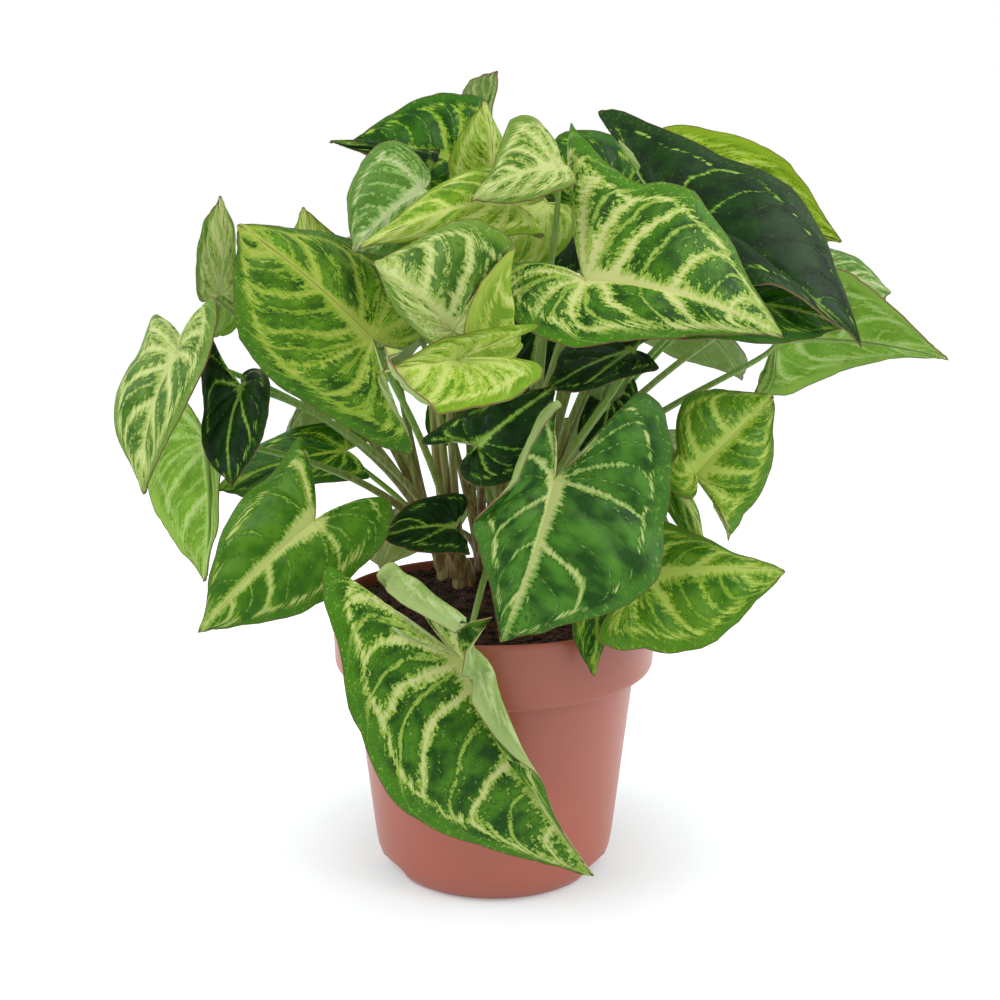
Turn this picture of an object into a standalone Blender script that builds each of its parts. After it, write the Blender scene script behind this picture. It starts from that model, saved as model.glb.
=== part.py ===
"""Potted arrowhead vine (Syngonium podophyllum) in a plastic nursery pot.

Origin: centre of the pot's underside, on the surface it stands on. +Z is up, -Y is the front.
Lengths in the constants and tables below are millimetres; MM turns them into metres.
"""
import math
from collections import namedtuple

import bmesh
import bpy
from mathutils import Matrix, Vector

MM = 0.001

# Pot: turned shell, outer profile then inner profile, as (radius, height).
POT_OUTER = [
    (43.0, 0.0), (44.4, 0.6), (46.6, 3.2), (48.2, 7.2), (49.0, 12.0),
    (57.0, 83.0), (63.6, 84.4), (64.2, 86.0), (65.0, 108.0), (64.6, 109.6), (63.9, 110.0),
]
POT_INNER = [(63.2, 109.4), (62.5, 87.6), (61.8, 86.4), (55.6, 84.8), (47.4, 13.0), (45.6, 8.0), (42.0, 5.2)]
POT_RING_INNER = 40.5  # inner edge of the ring the wall stands on
POT_PLATE_UNDERSIDE = 2.6  # raised underside of the floor plate
POT_CENTRE_DISC = 14.0  # middle of the floor, which reaches the ground
POT_SEGMENTS = 48
DRAIN_HOLES = 6
DRAIN_HOLE_RADIUS = 3.6
DRAIN_RING_RADIUS = 27.0
NOTCH_ANGLES = (62.0, 118.0, 242.0, 298.0)  # from the front, round the foot
NOTCH_WIDTH = 23.0
NOTCH_HEIGHT = 7.0

# Soil: a plug 0.4 mm clear of the pot, mounded above the rim in the middle.
SOIL_CLEARANCE = 0.4
SOIL_EDGE_HEIGHT = 103.0
SOIL_CROWN_HEIGHT = 113.0
SOIL_SEGMENTS = 32

# Plant
BLADE_THICKNESS = 0.8
SEAT_GAP = 0.3  # between a petiole's end and its blade, and between a shoot and the soil
PETIOLE_BASE_RADIUS = 2.0
PETIOLE_END_RADIUS = 1.1
PETIOLE_SIDES = 5
PETIOLE_BEND = 20.0  # longest run over which a stalk turns to meet its blade
PETIOLE_STEPS = 6
SHOOT_RADIUS = 5.0
SHOOT_HEIGHT = 9.0
SHOOT_LIFT = 0.4  # clears the lumps of the soil round the foot
SHOOTS = {  # foot of each shoot on the soil: x, y, and the bearing it leans to
    "front_left": (-12.0, 6.0, 225.0),
    "front_right": (4.0, 5.0, 300.0),
    "right": (9.0, 20.0, 10.0),
    "back": (-4.0, 31.0, 90.0),
    "left": (-19.0, 19.0, 170.0),
}

CROWN = (-5.0, 16.0)  # middle of the shoots

# Half of a flat blade, in blade lengths: x out from the rib, y from the petiole's joint to the tip.
HALF_OUTLINE = [
    (0.0, 0.0), (0.07, -0.22), (0.17, -0.50), (0.27, -0.63), (0.38, -0.60), (0.48, -0.45), (0.535, -0.22),
    (0.54, 0.03), (0.49, 0.27), (0.37, 0.50), (0.20, 0.73), (0.07, 0.90), (0.0, 1.0),
]
WIDE_POINT = (0.54, 0.03)
UPPER_POINT = (0.37, 0.50)
LOBE_POINT = (0.32, -0.63)
WIDE_ANGLE = math.atan2(*WIDE_POINT)
UPPER_ANGLE = math.atan2(*UPPER_POINT)
LOBE_ANGLE = math.atan2(*LOBE_POINT)
ROLL_START = 0.5  # share of the way to the edge where a rolled margin begins to turn over
RIB_START = 0.10  # side ribs leave the joint itself up to this height, and the midrib above it
COLUMNS = 8
ROWS = 2
ROLLED_ROWS = 4
FOLDED_COLUMNS = 20
FOLDED_ROWS = 9
FOLD_RADIUS = 1.4
SLIM_FROM = 0.35  # how far below the joint a slim lobe reaches its share, in blade lengths
SLIM_MIDDLE = 0.38  # where the middle line of a slim lobe lies, in blade lengths out from the rib
FOLD_OPENS = 0.2  # share of a fold's line over which it turns from flat to full

Fold = namedtuple("Fold", "side start end turn")
Leaf = namedtuple("Leaf", "joint tip left right bow roll folds slim")
# joint: where the petiole meets the blade. The others are offsets from it: the tip, and for each side
# the widest point, the shoulder between it and the tip, and the end of the basal lobe, left and right
# as seen on the upper side with the tip ahead. A shoulder of None keeps the plain outline.
# bow: how far the midrib, the sides and the lobes arch out of straight, towards the upper side.
# roll: degrees the outer half of each side turns over, (left blade, left lobe, right blade, right lobe).
# A Fold turns over what lies past a line of the flat half-blade, away from the joint, by turn degrees.
# It opens at the line's start. side is 0 for left and 1 for right.
# slim: how wide the basal lobes are, as a share of the plain outline's, left and right.


def placed(joint, tip, left, right, bow=(4, 2, 2), roll=(0, 0, 0, 0), folds=(), slim=(1.0, 1.0)):
    return Leaf(joint, tip, left, right, bow, roll, folds, slim)


def posed(joint, bearing, droop, length, roll=0.0, fold=14.0, bow=(5.0, 3.0, 2.0)):
    """A regular blade: bearing turns from +X towards +Y, droop is below level, fold lowers both sides."""
    b, d, r, f = (math.radians(v) for v in (bearing, droop, roll, fold))
    ahead = Vector((math.cos(b) * math.cos(d), math.sin(b) * math.cos(d), -math.sin(d)))
    level = Vector((math.sin(b), -math.cos(b), 0.0))
    up = level.cross(ahead)
    right = level * math.cos(r) + up * math.sin(r)
    up = right.cross(ahead)
    sides = []
    for side in (-1.0, 1.0):
        out = right * (side * math.cos(f)) - up * math.sin(f)
        wide = (out * WIDE_POINT[0] + ahead * WIDE_POINT[1]) * length
        lobe = (out * LOBE_POINT[0] + ahead * LOBE_POINT[1] * 0.95 - up * 0.10) * length
        sides.append((tuple(wide), None, tuple(lobe)))
    return Leaf(joint, tuple(ahead * length), *sides, bow, (0, 0, 0, 0), (), (1.0, 1.0))


LEAVES = {
    "heart_front": placed((21, -62, 170), (-19, -18, -54),
                          ((39, 4, -19), (26, -12, -42), (35, 14, 28)),
                          ((-28, -14, -12), (-25, -20, -25), (-8, -4, 39)),
                          (5, 3, 4), (0, 0, 0, 130),
                          slim=(0.85, 1)),
    "draped_front": placed((-11, -78, 109), (47, -2, -81),
                           ((23, -12, 0), (30, -10, -47), (-22, 12, 40)),
                           ((-36, -8, -22), (-11, -10, -58), (-45, 8, 32)),
                           (6, 4, 3),
                           folds=((0, (0.24, -0.14), (0.4, 0.44), 160),
                                  (0, (0.385, -0.14), (0.14, -0.56), 155)),
                           slim=(1, 0.42)),
    "right_low": placed((54, -44, 130), (54, 0, 2),
                        ((4, 14, 19), (27, 8, 12), (-12, 22, 17)),
                        ((-1, -24, -20), (26, -18, -19), (-15, -20, -11)),
                        (5, 3, 3)),
    "small_front": placed((37, -57, 127), (-1, -7, -29),
                          ((6, -1, -6), (4, -3, -16), (6, 7, 3)),
                          ((-9, -5, -7), (-7, -7, -19), (-5, 5, 3)),
                          (2, 1, 1)),
    "crown_low": placed((-15, -30, 145), (-27, -16, 0),
                        ((-5, -18, -5), (-19, -18, -3), (6, -14, -6)),
                        ((-6, 10, 11), (-20, -2, 7), (5, 12, 8)),
                        (3, 2, 1)),
    "arrow_left": placed((-65, -52, 153), (-43, -4, -41),
                         ((13, -6, -20), (-10, -9, -34), (27, 2, 7)),
                         ((-19, 14, 13), (-35, 4, -7), (-6, 18, 26)),
                         (4, 3, 2)),
    "pale_centre": placed((-14, -70, 223), (-28, 16, 22),
                          ((-18, 2, 5), (-24, 8, 15), (-6, -2, -5)),
                          ((21, 6, 28), (1, 13, 36), (43, 2, 0)),
                          (5, 3, 3),
                          folds=((1, (0.56, 0.08), (0.206, -0.245), 155),)),
    "pale_lower": placed((-13, -83, 215), (-24, -12, -3),
                         ((7, -21, -13), (-13, -22, -13), (28, -16, -2)),
                         ((-3, -4, 8), (-15, -9, 2), (26, -5, 12)),
                         (3, 1, 1),
                         folds=((0, (0.44, 0.27), (0.04, 0.8), 125),)),
    "big_centre": placed((32, -52, 239), (70, 2, -20),
                         ((20, 18, 33), (46, 16, 22), (-4, 32, 54)),
                         ((-6, -20, -21), (28, -12, -19), (-31, -4, 2)),
                         (8, 4, 3)),
    "under_centre": placed((51, -24, 211), (-32, -19, -12),
                           ((-10, -14, -10), None, (9, -6, -6)),
                           ((-16, 9, 6), None, (7, 14, 6)),
                           (3, 2, 2)),
    "dark_centre": placed((-6, -60, 182), (28, 7, 20),
                          ((-6, 5, 10), None, (-19, -2, 1)),
                          ((15, -6, -9), None, (-5, -11, -9)),
                          (3, 2, 2)),
    "grey_centre": placed((52, -4, 210), (-9, -5, -21),
                          ((-1, -7, -13), None, (5, -7, -2)),
                          ((-15, -1, -11), None, (-6, 7, 1)),
                          (3, 1, 1)),
    "light_left": placed((-43, -52, 219), (-48, 12, 39),
                         ((-38, 2, -13), None, (13, -10, -39)),
                         ((4, 24, 25), None, (17, 22, 0)),
                         (6, 4, 4),
                         slim=(0.7, 1)),
    "twisted_left": placed((-105, -12, 232), (4, -6, 36),
                           ((-5, -8, 14), None, (-5, -4, -3)),
                           ((7, 4, 13), None, (6, 2, -4)),
                           (4, 2, 2)),
    "folded_left": placed((-119, -16, 209), (-13, -14, -51),
                          ((13, -20, -4), (-1, -22, -30), (16, -10, 22)),
                          ((-19, 14, -2), (-26, 2, -25), (-10, 18, 13)),
                          (5, 3, 3)),
    "hanging_left": placed((-114, 2, 173), (-2, -6, -56),
                           ((-26, 10, -17), (-20, 6, -36), (-15, 12, 15)),
                           ((5, -4, -20), None, (6, 4, 8)),
                           (4, 2, 2)),
    "curled_left": placed((-94, -22, 197), (-4, -8, -36),
                          ((11, -12, -8), None, (6, 8, 6)),
                          ((-15, 2, -14), None, (-16, 8, 20)),
                          (5, 3, 3), (0, 0, 60, 0)),
    "lime_left": placed((-100, 14, 239), (-13, -6, -26),
                        ((-10, -10, -9), None, (-4, -8, 5)),
                        ((-1, 8, -19), None, (3, 10, -1)),
                        (2, 1, 1)),
    "back_left": placed((-62, 30, 164), (-54, -4, -16),
                        ((-22, -12, -14), None, (10, -12, -9)),
                        ((-24, 12, 7), None, (9, 20, 5)),
                        (4, 2, 2)),
    "right_mid": placed((74, -38, 167), (33, 26, 26),
                        ((-6, 4, 8), (1, 16, 29), (-5, -12, -6)),
                        ((18, -8, -12), (29, 4, 4), (11, -18, -18)),
                        (5, 3, 2)),
    "right_inner": placed((65, -4, 163), (17, -8, -28),
                          ((13, 6, -10), None, (6, 10, 7)),
                          ((3, -8, -16), None, (-9, -10, -3)),
                          (3, 1, 1)),
    "right_far": placed((111, 8, 212), (68, -2, -7),
                        ((10, 16, -24), (39, 16, -11), (-2, 20, -26)),
                        ((11, -10, 31), (39, -8, 18), (-15, -10, 16)),
                        (6, 3, 3)),
    "dark_top": placed((65, -12, 258), (72, -12, -45),
                       ((22, 14, 24), (55, 8, 3), (-25, 22, 41)),
                       ((20, -24, -24), (38, -26, -23), (-16, -22, -13)),
                       (9, 4, 3),
                       slim=(0.6, 1)),
    "under_dark": placed((78, -22, 230), (57, 10, -11),
                         ((27, 18, 13), None, (-3, 22, 13)),
                         ((11, -12, -14), None, (-22, -14, -13)),
                         (4, 3, 2)),
    "pale_right": placed((124, 20, 237), (34, -2, -7),
                         ((15, 10, 9), None, (-2, 12, 11)),
                         ((17, -8, -14), None, (-6, -12, -9)),
                         (4, 2, 2)),
    "lime_top": placed((77, 22, 272), (62, 2, -22),
                       ((30, 8, -18), None, (2, 12, -13)),
                       ((10, 16, 21), (42, 12, 8), (-12, 12, 13)),
                       (6, 3, 2)),
    "round_top": placed((-25, -36, 270), (-25, -4, -22),
                        ((-5, -7, -19), (-15, -6, -23), (8, -6, -12)),
                        ((-19, 7, 13), (-27, 2, -3), (-2, 10, 11)),
                        (5, 3, 2)),
    "lime_upper": placed((4, -42, 266), (-51, -12, -16),
                         ((-4, -9, -13), (-29, -11, -14), (12, -6, -12)),
                         ((-4, 14, 13), (-28, 2, 3), (15, 16, 3)),
                         (5, 3, 2)),
    "pale_upper": placed((22, -44, 277), (-30, -10, -11),
                         ((-4, -12, -9), (-18, -12, -12), (6, -2, -4)),
                         ((-16, 12, 17), (-21, 2, 4), (-2, 14, 9)),
                         (4, 2, 2)),
    "lime_upright": placed((-1, -14, 274), (-3, 0, 28),
                           ((-16, -4, 5), (-10, -3, 18), (-10, -8, -4)),
                           ((8, 8, 7), (2, 6, 19), (6, 6, -4)),
                           (3, 2, 1)),
    "rolled_tip": placed((-24, -13, 278), (-36, -7, 9),
                         ((-11, -6, 1), None, (1, -6, -4)),
                         ((-9, 0, 7), None, (3, 8, 7)),
                         (3, 2, 1)),
    "dark_top_left": placed((-16, 4, 281), (-39, -14, 5),
                            ((-2, -8, -13), (-20, -11, -5), (8, -7, -11)),
                            ((1, 9, 25), (-18, 1, 20), (12, 9, 16)),
                            (4, 3, 2)),
    "top_tip": placed((-5, 22, 298), (6, -4, 17),
                      ((5, -4, 7), None, (4, -4, -1)),
                      ((-7, 0, 10), None, (-4, 2, 1)),
                      (1, 1, 1)),
    "green_back": placed((42, 28, 264), (-23, -2, 22),
                         ((-21, -6, 1), (-25, -5, 14), (-4, 0, -11)),
                         ((9, 12, 26), (-12, 6, 29), (27, 14, 9)),
                         (4, 2, 2)),
    "lime_middle": placed((20, -12, 265), (-19, -14, -20),
                          ((0, -14, -22), None, (11, -2, -6)),
                          ((-25, 0, -3), None, (-10, 6, 6)),
                          (3, 2, 1)),
    "dark_middle": placed((32, 12, 256), (-24, -8, -17),
                          ((-3, -10, -19), None, (8, -3, -5)),
                          ((-26, -1, 1), None, (-9, 5, 11)),
                          (3, 2, 1)),
    "inner_back": placed((19, 38, 217), (-10, -10, -43),
                         ((5, -4, -20), None, (9, 6, 9)),
                         ((-18, -4, -15), None, (-11, 6, 9)),
                         (4, 2, 2)),
    "inner_right": placed((49, 34, 188), (-7, -8, -35),
                          ((9, -6, -14), None, (8, 2, 6)),
                          ((-14, -2, -13), None, (-7, 4, 6)),
                          (3, 2, 2)),
    "inner_left": placed((-13, 40, 196), (-11, -8, -33),
                         ((9, -4, -15), None, (7, 4, 6)),
                         ((-14, -2, -12), None, (-7, 4, 7)),
                         (3, 2, 2)),
    "spike_left": placed((-63, 0, 229), (-9, -4, 35),
                         ((-13, 4, 12), None, (-7, 6, -7)),
                         ((10, -4, 12), None, (6, -2, -7)),
                         (3, 2, 1)),
    # back, away from the side the plant is shown from
    "back_upper": posed((5, 56, 264), 92, 20, 50),
    "back_upper_left": posed((-52, 24, 250), 142, 28, 48),
    "back_upper_right": posed((50, 50, 248), 58, 26, 52),
    "back_left_mid": posed((-38, 66, 226), 114, 40, 56),
    "back_mid": posed((15, 74, 214), 85, 44, 60),
    "back_right_mid": posed((82, 60, 216), 46, 34, 54),
    "back_side_left": posed((-63, 44, 195), 147, 44, 50),
    "back_low": posed((18, 78, 152), 84, 56, 56),
    "back_low_left": posed((-36, 66, 128), 122, 44, 46),
    "back_low_right": posed((54, 62, 136), 58, 48, 52),
    "back_low_side": posed((92, 32, 164), 62, 44, 38),
}


def clear_scene():
    for thing in list(bpy.data.objects):
        bpy.data.objects.remove(thing, do_unlink=True)


def material(name, colour, roughness):
    made = bpy.data.materials.new(name)
    made.use_nodes = True
    shader = made.node_tree.nodes["Principled BSDF"]
    shader.inputs["Base Color"].default_value = (*colour, 1.0)
    shader.inputs["Roughness"].default_value = roughness
    made.diffuse_color = (*colour, 1.0)
    return made


def object_from(name, verts, faces, mat):
    mesh = bpy.data.meshes.new(name)
    mesh.from_pydata([tuple(v) for v in verts], [], faces)
    mesh.validate()
    thing = bpy.data.objects.new(name, mesh)
    bpy.context.scene.collection.objects.link(thing)
    if mat:
        mesh.materials.append(mat)
    return thing


def turned(name, profile, segments, mat):
    """A closed body of revolution from a profile whose first and last points lie on the axis."""
    bm = bmesh.new()
    rings = []
    for radius, height in profile:
        if radius == 0.0:
            rings.append([bm.verts.new((0.0, 0.0, height * MM))])
            continue
        turn = [math.tau * k / segments for k in range(segments)]
        circle = [(radius * math.cos(a), radius * math.sin(a), height) for a in turn]
        rings.append([bm.verts.new(Vector(place) * MM) for place in circle])
    for lower, upper in zip(rings, rings[1:]):
        for k in range(segments):
            corners = [lower[k % len(lower)], lower[(k + 1) % len(lower)], upper[(k + 1) % len(upper)],
                       upper[k % len(upper)]]
            unique = list(dict.fromkeys(corners))
            bm.faces.new(unique)
    bmesh.ops.recalc_face_normals(bm, faces=bm.faces)
    mesh = bpy.data.meshes.new(name)
    bm.to_mesh(mesh)
    bm.free()
    thing = bpy.data.objects.new(name, mesh)
    bpy.context.scene.collection.objects.link(thing)
    if mat:
        mesh.materials.append(mat)
    return thing


def join_bodies(target, tools, operation):
    """Adds or cuts each tool in turn and removes it."""
    for tool in tools:
        step = target.modifiers.new("step", "BOOLEAN")
        step.operation = operation
        step.solver = "EXACT"
        step.object = tool
        graph = bpy.context.evaluated_depsgraph_get()
        mesh = bpy.data.meshes.new_from_object(target.evaluated_get(graph))
        target.modifiers.clear()
        old = target.data
        target.data = mesh
        bpy.data.meshes.remove(old)
        bpy.data.objects.remove(tool, do_unlink=True)
    tidy = bmesh.new()
    tidy.from_mesh(target.data)
    bmesh.ops.remove_doubles(tidy, verts=tidy.verts, dist=0.00002)
    bmesh.ops.dissolve_degenerate(tidy, edges=tidy.edges, dist=0.00001)
    tidy.to_mesh(target.data)
    tidy.free()
    return target


def build_pot(mat):
    """Shell with a rolled rim band, a standing ring with four arches, and six drain holes in its floor."""
    underside = [(POT_RING_INNER, 0.0), (POT_RING_INNER - 1.2, POT_PLATE_UNDERSIDE),
                 (POT_CENTRE_DISC + 1.2, POT_PLATE_UNDERSIDE), (POT_CENTRE_DISC, 0.0), (0.0, 0.0)]
    profile = [(0.0, POT_INNER[-1][1])] + POT_INNER[::-1] + POT_OUTER[::-1] + underside
    pot = turned("pot", profile, POT_SEGMENTS, mat)
    cutters = []
    for k in range(DRAIN_HOLES):
        angle = math.tau * (k + 0.44) / DRAIN_HOLES
        hole = turned("hole", [(0, -2), (DRAIN_HOLE_RADIUS, -2), (DRAIN_HOLE_RADIUS, 9), (0, 9)], 12, None)
        x, y = DRAIN_RING_RADIUS * math.cos(angle), DRAIN_RING_RADIUS * math.sin(angle)
        hole.data.transform(shifted(x, y, 0.0))
        cutters.append(hole)
    for bearing in NOTCH_ANGLES:
        cutters.append(notch_cutter(math.radians(bearing - 90.0)))
    return join_bodies(pot, cutters, "DIFFERENCE")


def shifted(x, y, z):
    return Matrix.Translation(Vector((x, y, z)) * MM)


def notch_cutter(angle):
    """A rounded arch, cut radially through the standing ring from outside."""
    half, rise = NOTCH_WIDTH / 2, NOTCH_HEIGHT
    arch = [(-half, -2.0), (half, -2.0), (half - 0.8, rise * 0.55), (half - 3.4, rise * 0.92),
            (half - 6.5, rise), (6.5 - half, rise), (3.4 - half, rise * 0.92), (0.8 - half, rise * 0.55)]
    out = Vector((math.cos(angle), math.sin(angle), 0.0))
    side = Vector((-out.y, out.x, 0.0))
    verts = [(out * reach + side * across + Vector((0, 0, height))) * MM
             for reach in (POT_RING_INNER + 1.4, 60.0) for across, height in arch]
    count = len(arch)
    faces = [tuple(range(count))[::-1], tuple(range(count, 2 * count))]
    faces += [(k, (k + 1) % count, (k + 1) % count + count, k + count) for k in range(count)]
    return object_from("notch", verts, faces, None)


def soil_height(x, y):
    """Top of the soil in mm at a place in mm: a low mound with broad lumps."""
    reach = math.hypot(x, y - 8.0) / 70.0
    mound = SOIL_EDGE_HEIGHT + (SOIL_CROWN_HEIGHT - SOIL_EDGE_HEIGHT) * max(0.0, 1.0 - reach * reach) ** 1.2
    lumps = 0.7 * math.sin(x * 0.21 + 1.0) * math.cos(y * 0.19) + 0.5 * math.sin(x * 0.43 - y * 0.37)
    return mound + lumps * min(1.0, max(0.0, (60.0 - math.hypot(x, y)) / 20.0))


def build_soil(mat):
    """A plug of soil just clear of the pot all round, with a mounded, lumpy top."""
    gap = SOIL_CLEARANCE
    wall = [(0.0, 5.2 + gap), (41.6, 5.2 + gap), (45.1, 8.3), (46.9, 13.2), (55.1, 85.2 + gap),
            (61.4, 86.8 + gap), (62.0, 88.0), (62.3, SOIL_EDGE_HEIGHT - 1.0)]
    rings = [60.5, 52.0, 42.0, 31.0, 19.0, 8.0]
    top = [(radius, SOIL_EDGE_HEIGHT) for radius in rings + [0.0]]
    soil = turned("soil", wall + top, SOIL_SEGMENTS, mat)
    for vert in soil.data.vertices:
        if vert.co.z > (SOIL_EDGE_HEIGHT - 0.5) * MM:
            vert.co.z = soil_height(vert.co.x / MM, vert.co.y / MM) * MM
    return soil


def along(points, count):
    """count + 1 points evenly spaced in parameter on a smooth curve through points."""
    points = [Vector((*p, 0.0)) if len(p) == 2 else Vector(p) for p in points]
    closed = [points[0] * 2 - points[1], *points, points[-1] * 2 - points[-2]]
    spans = len(points) - 1
    found = []
    for k in range(count + 1):
        place = spans * k / count
        i = min(int(place), spans - 1)
        t = place - i
        a, b, c, d = closed[i:i + 4]
        found.append(0.5 * ((2 * b) + (c - a) * t + (2 * a - 5 * b + 4 * c - d) * t * t
                            + (3 * b - 3 * c + d - a) * t ** 3))
    return found


def side_shape(tip, points):
    """One half-blade as four directions: ahead, out, and what the lobe and the shoulder add to that plane."""
    wide, shoulder, lobe = points
    tip, wide, lobe = Vector(tip), Vector(wide), Vector(lobe)
    out = (wide / math.hypot(*WIDE_POINT) - tip * math.cos(WIDE_ANGLE)) / math.sin(WIDE_ANGLE)
    flat_lobe = tip * math.cos(LOBE_ANGLE) + out * math.sin(LOBE_ANGLE)
    pull = lobe / math.hypot(*LOBE_POINT) - flat_lobe
    push = Vector((0, 0, 0))
    if shoulder:
        flat_shoulder = tip * math.cos(UPPER_ANGLE) + out * math.sin(UPPER_ANGLE)
        push = Vector(shoulder) / math.hypot(*UPPER_POINT) - flat_shoulder
    return tip, out, pull, push


def direction(shape, angle):
    """Where a ray of the flat half-blade at this angle from the tip points, and how it is stretched."""
    ahead, out, pull, push = shape
    lobe = max(0.0, (angle - WIDE_ANGLE) / (LOBE_ANGLE - WIDE_ANGLE))
    shoulder = math.sin(math.pi * angle / WIDE_ANGLE) / math.sin(math.pi * UPPER_ANGLE / WIDE_ANGLE)
    if angle > WIDE_ANGLE:
        shoulder = 0.0
    return ahead * math.cos(angle) + out * math.sin(angle) + pull * lobe ** 1.7 + push * shoulder


def smooth(t):
    """Eases from 0 to 1."""
    t = min(1.0, max(0.0, t))
    return t * t * (3 - 2 * t)


def past_fold(fold, x, y):
    """How far a flat point is past a fold, its share of the line, the foot on it and the way across."""
    start, end = Vector(fold.start), Vector(fold.end)
    line = (end - start).normalized()
    across = Vector((-line.y, line.x))
    if across.dot(start) < 0:
        across = -across
    offset = Vector((x, y)) - start
    run = offset.dot(line)
    return offset.dot(across), run / (end - start).length, start + line * run, across


class Blade:
    """The curved surface of one leaf, from its joint, tip, widest points and lobes."""

    def __init__(self, leaf):
        self.joint = Vector(leaf.joint)
        self.bow = leaf.bow
        self.roll = (leaf.roll[:2], leaf.roll[2:])
        self.folds = [Fold(*fold) for fold in leaf.folds]
        self.slim = leaf.slim
        self.sides = (side_shape(leaf.tip, leaf.left), side_shape(leaf.tip, leaf.right))
        ups = [self.side_normal(side, 0.9) for side in (0, 1)]
        self.up = (ups[0] + ups[1]).normalized()

    def side_normal(self, side, angle):
        ahead = direction(self.sides[side], angle)
        turned_on = direction(self.sides[side], angle + 0.01)
        normal = turned_on.cross(ahead) if side else ahead.cross(turned_on)
        return normal.normalized()

    def normal(self, side, angle):
        share = smooth(angle / 0.9)
        return (self.up.lerp(self.side_normal(side, max(angle, 0.02)), share)).normalized()

    def point(self, side, x, y):
        """A point of the surface: x and y on the flat half-blade."""
        for fold in self.folds:
            past, share, foot, across = past_fold(fold, x, y)
            if fold.side == side and past > 0.0 and share > 0.0:
                opening = smooth(share / FOLD_OPENS)
                over = self.folded(fold, opening, past, foot, across)
                return self.unfolded(side, x, y).lerp(over, min(1.0, 3 * opening))
        return self.unfolded(side, x, y)

    def bend_width(self, fold):
        """How wide the bend of a fold is on the flat half-blade."""
        scale = self.sides[fold.side][1].length
        return FOLD_RADIUS * math.radians(fold.turn) / scale

    def folded(self, fold, opening, past, foot, across):
        """A point past a fold: round a bend of fixed radius, then straight on."""
        before, after = (self.unfolded(fold.side, *(foot + across * step)) for step in (-0.01, 0.01))
        beside = Vector((-across.y, across.x))
        lower, upper = (self.unfolded(fold.side, *(foot + beside * step)) for step in (-0.01, 0.01))
        outward = after - before
        normal = outward.cross(upper - lower).normalized()
        if normal.dot(self.up) < 0:
            normal = -normal
        run = past * outward.length / 0.02
        outward = outward.normalized()
        turn = math.radians(fold.turn) * opening
        bent = min(turn, run / FOLD_RADIUS)
        rest = max(0.0, run - turn * FOLD_RADIUS)
        along = FOLD_RADIUS * math.sin(bent) + rest * math.cos(bent)
        lift = FOLD_RADIUS * (1 - math.cos(bent)) + rest * math.sin(bent)
        return self.unfolded(fold.side, *foot) + outward * along + normal * lift

    def unfolded(self, side, x, y):
        angle = math.atan2(x, y)
        reach = math.hypot(x, y)
        if reach < 1e-9:
            return self.joint.copy()
        if angle < WIDE_ANGLE:
            height = self.bow[0] + (self.bow[1] - self.bow[0]) * smooth(angle / WIDE_ANGLE)
        else:
            height = self.bow[1] + (self.bow[2] - self.bow[1]) * smooth((angle - WIDE_ANGLE) / 1.2)
        share = min(1.0, reach / edge_reach(angle))
        arch = height * 4 * share * (1 - share)
        ray, normal = direction(self.sides[side], angle), self.normal(side, angle)
        roll = self.rolled(side, angle)
        if roll == 0.0 or share <= ROLL_START:
            return self.joint + ray * reach + normal * arch
        edge = ray.length * edge_reach(angle)
        start = self.joint + ray.normalized() * (edge * ROLL_START) + normal * arch
        bend = roll / ((1 - ROLL_START) * edge)
        turned_by = bend * edge * (share - ROLL_START)
        outward = ray.normalized() * (math.sin(turned_by) / bend)
        return start + outward + normal * ((1 - math.cos(turned_by)) / bend)

    def rolled(self, side, angle):
        """How far the margin is rolled over on this ray, in radians."""
        blade, lobe = self.roll[side]
        at_blade = blade * smooth((angle - 0.15) / 0.7)
        return math.radians(at_blade + (lobe - at_blade) * smooth((angle - 1.5) / 0.5))


def edge_table():
    """Distance from the joint to the edge of the flat half-blade, every 3 degrees from the tip."""
    table = {}
    for place in along(HALF_OUTLINE, 240):
        if place.length > 1e-6:
            step = round(math.degrees(math.atan2(place.x, place.y)) / 3)
            table[step] = max(table.get(step, 0.0), place.length)
    return [table.get(step, 0.7) for step in range(max(table) + 1)]


EDGE = edge_table()


def edge_reach(angle):
    place = min(math.degrees(angle) / 3, len(EDGE) - 1.001)
    low = int(place)
    return max(0.05, EDGE[low] + (EDGE[low + 1] - EDGE[low]) * (place - low))


def rib_foot(y):
    """Where on the midrib the side rib starts that ends at height y on the edge."""
    return max(0.0, (y - RIB_START) / (1 - RIB_START)) ** 1.25


def slimmed(place, share):
    """A point of the outline with its lobe narrowed towards the lobe's own middle line."""
    if place.y >= 0.0:
        return place
    keep = 1 + (share - 1) * smooth(-place.y / SLIM_FROM)
    return Vector((SLIM_MIDDLE + (place.x - SLIM_MIDDLE) * keep, place.y, 0.0))


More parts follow.
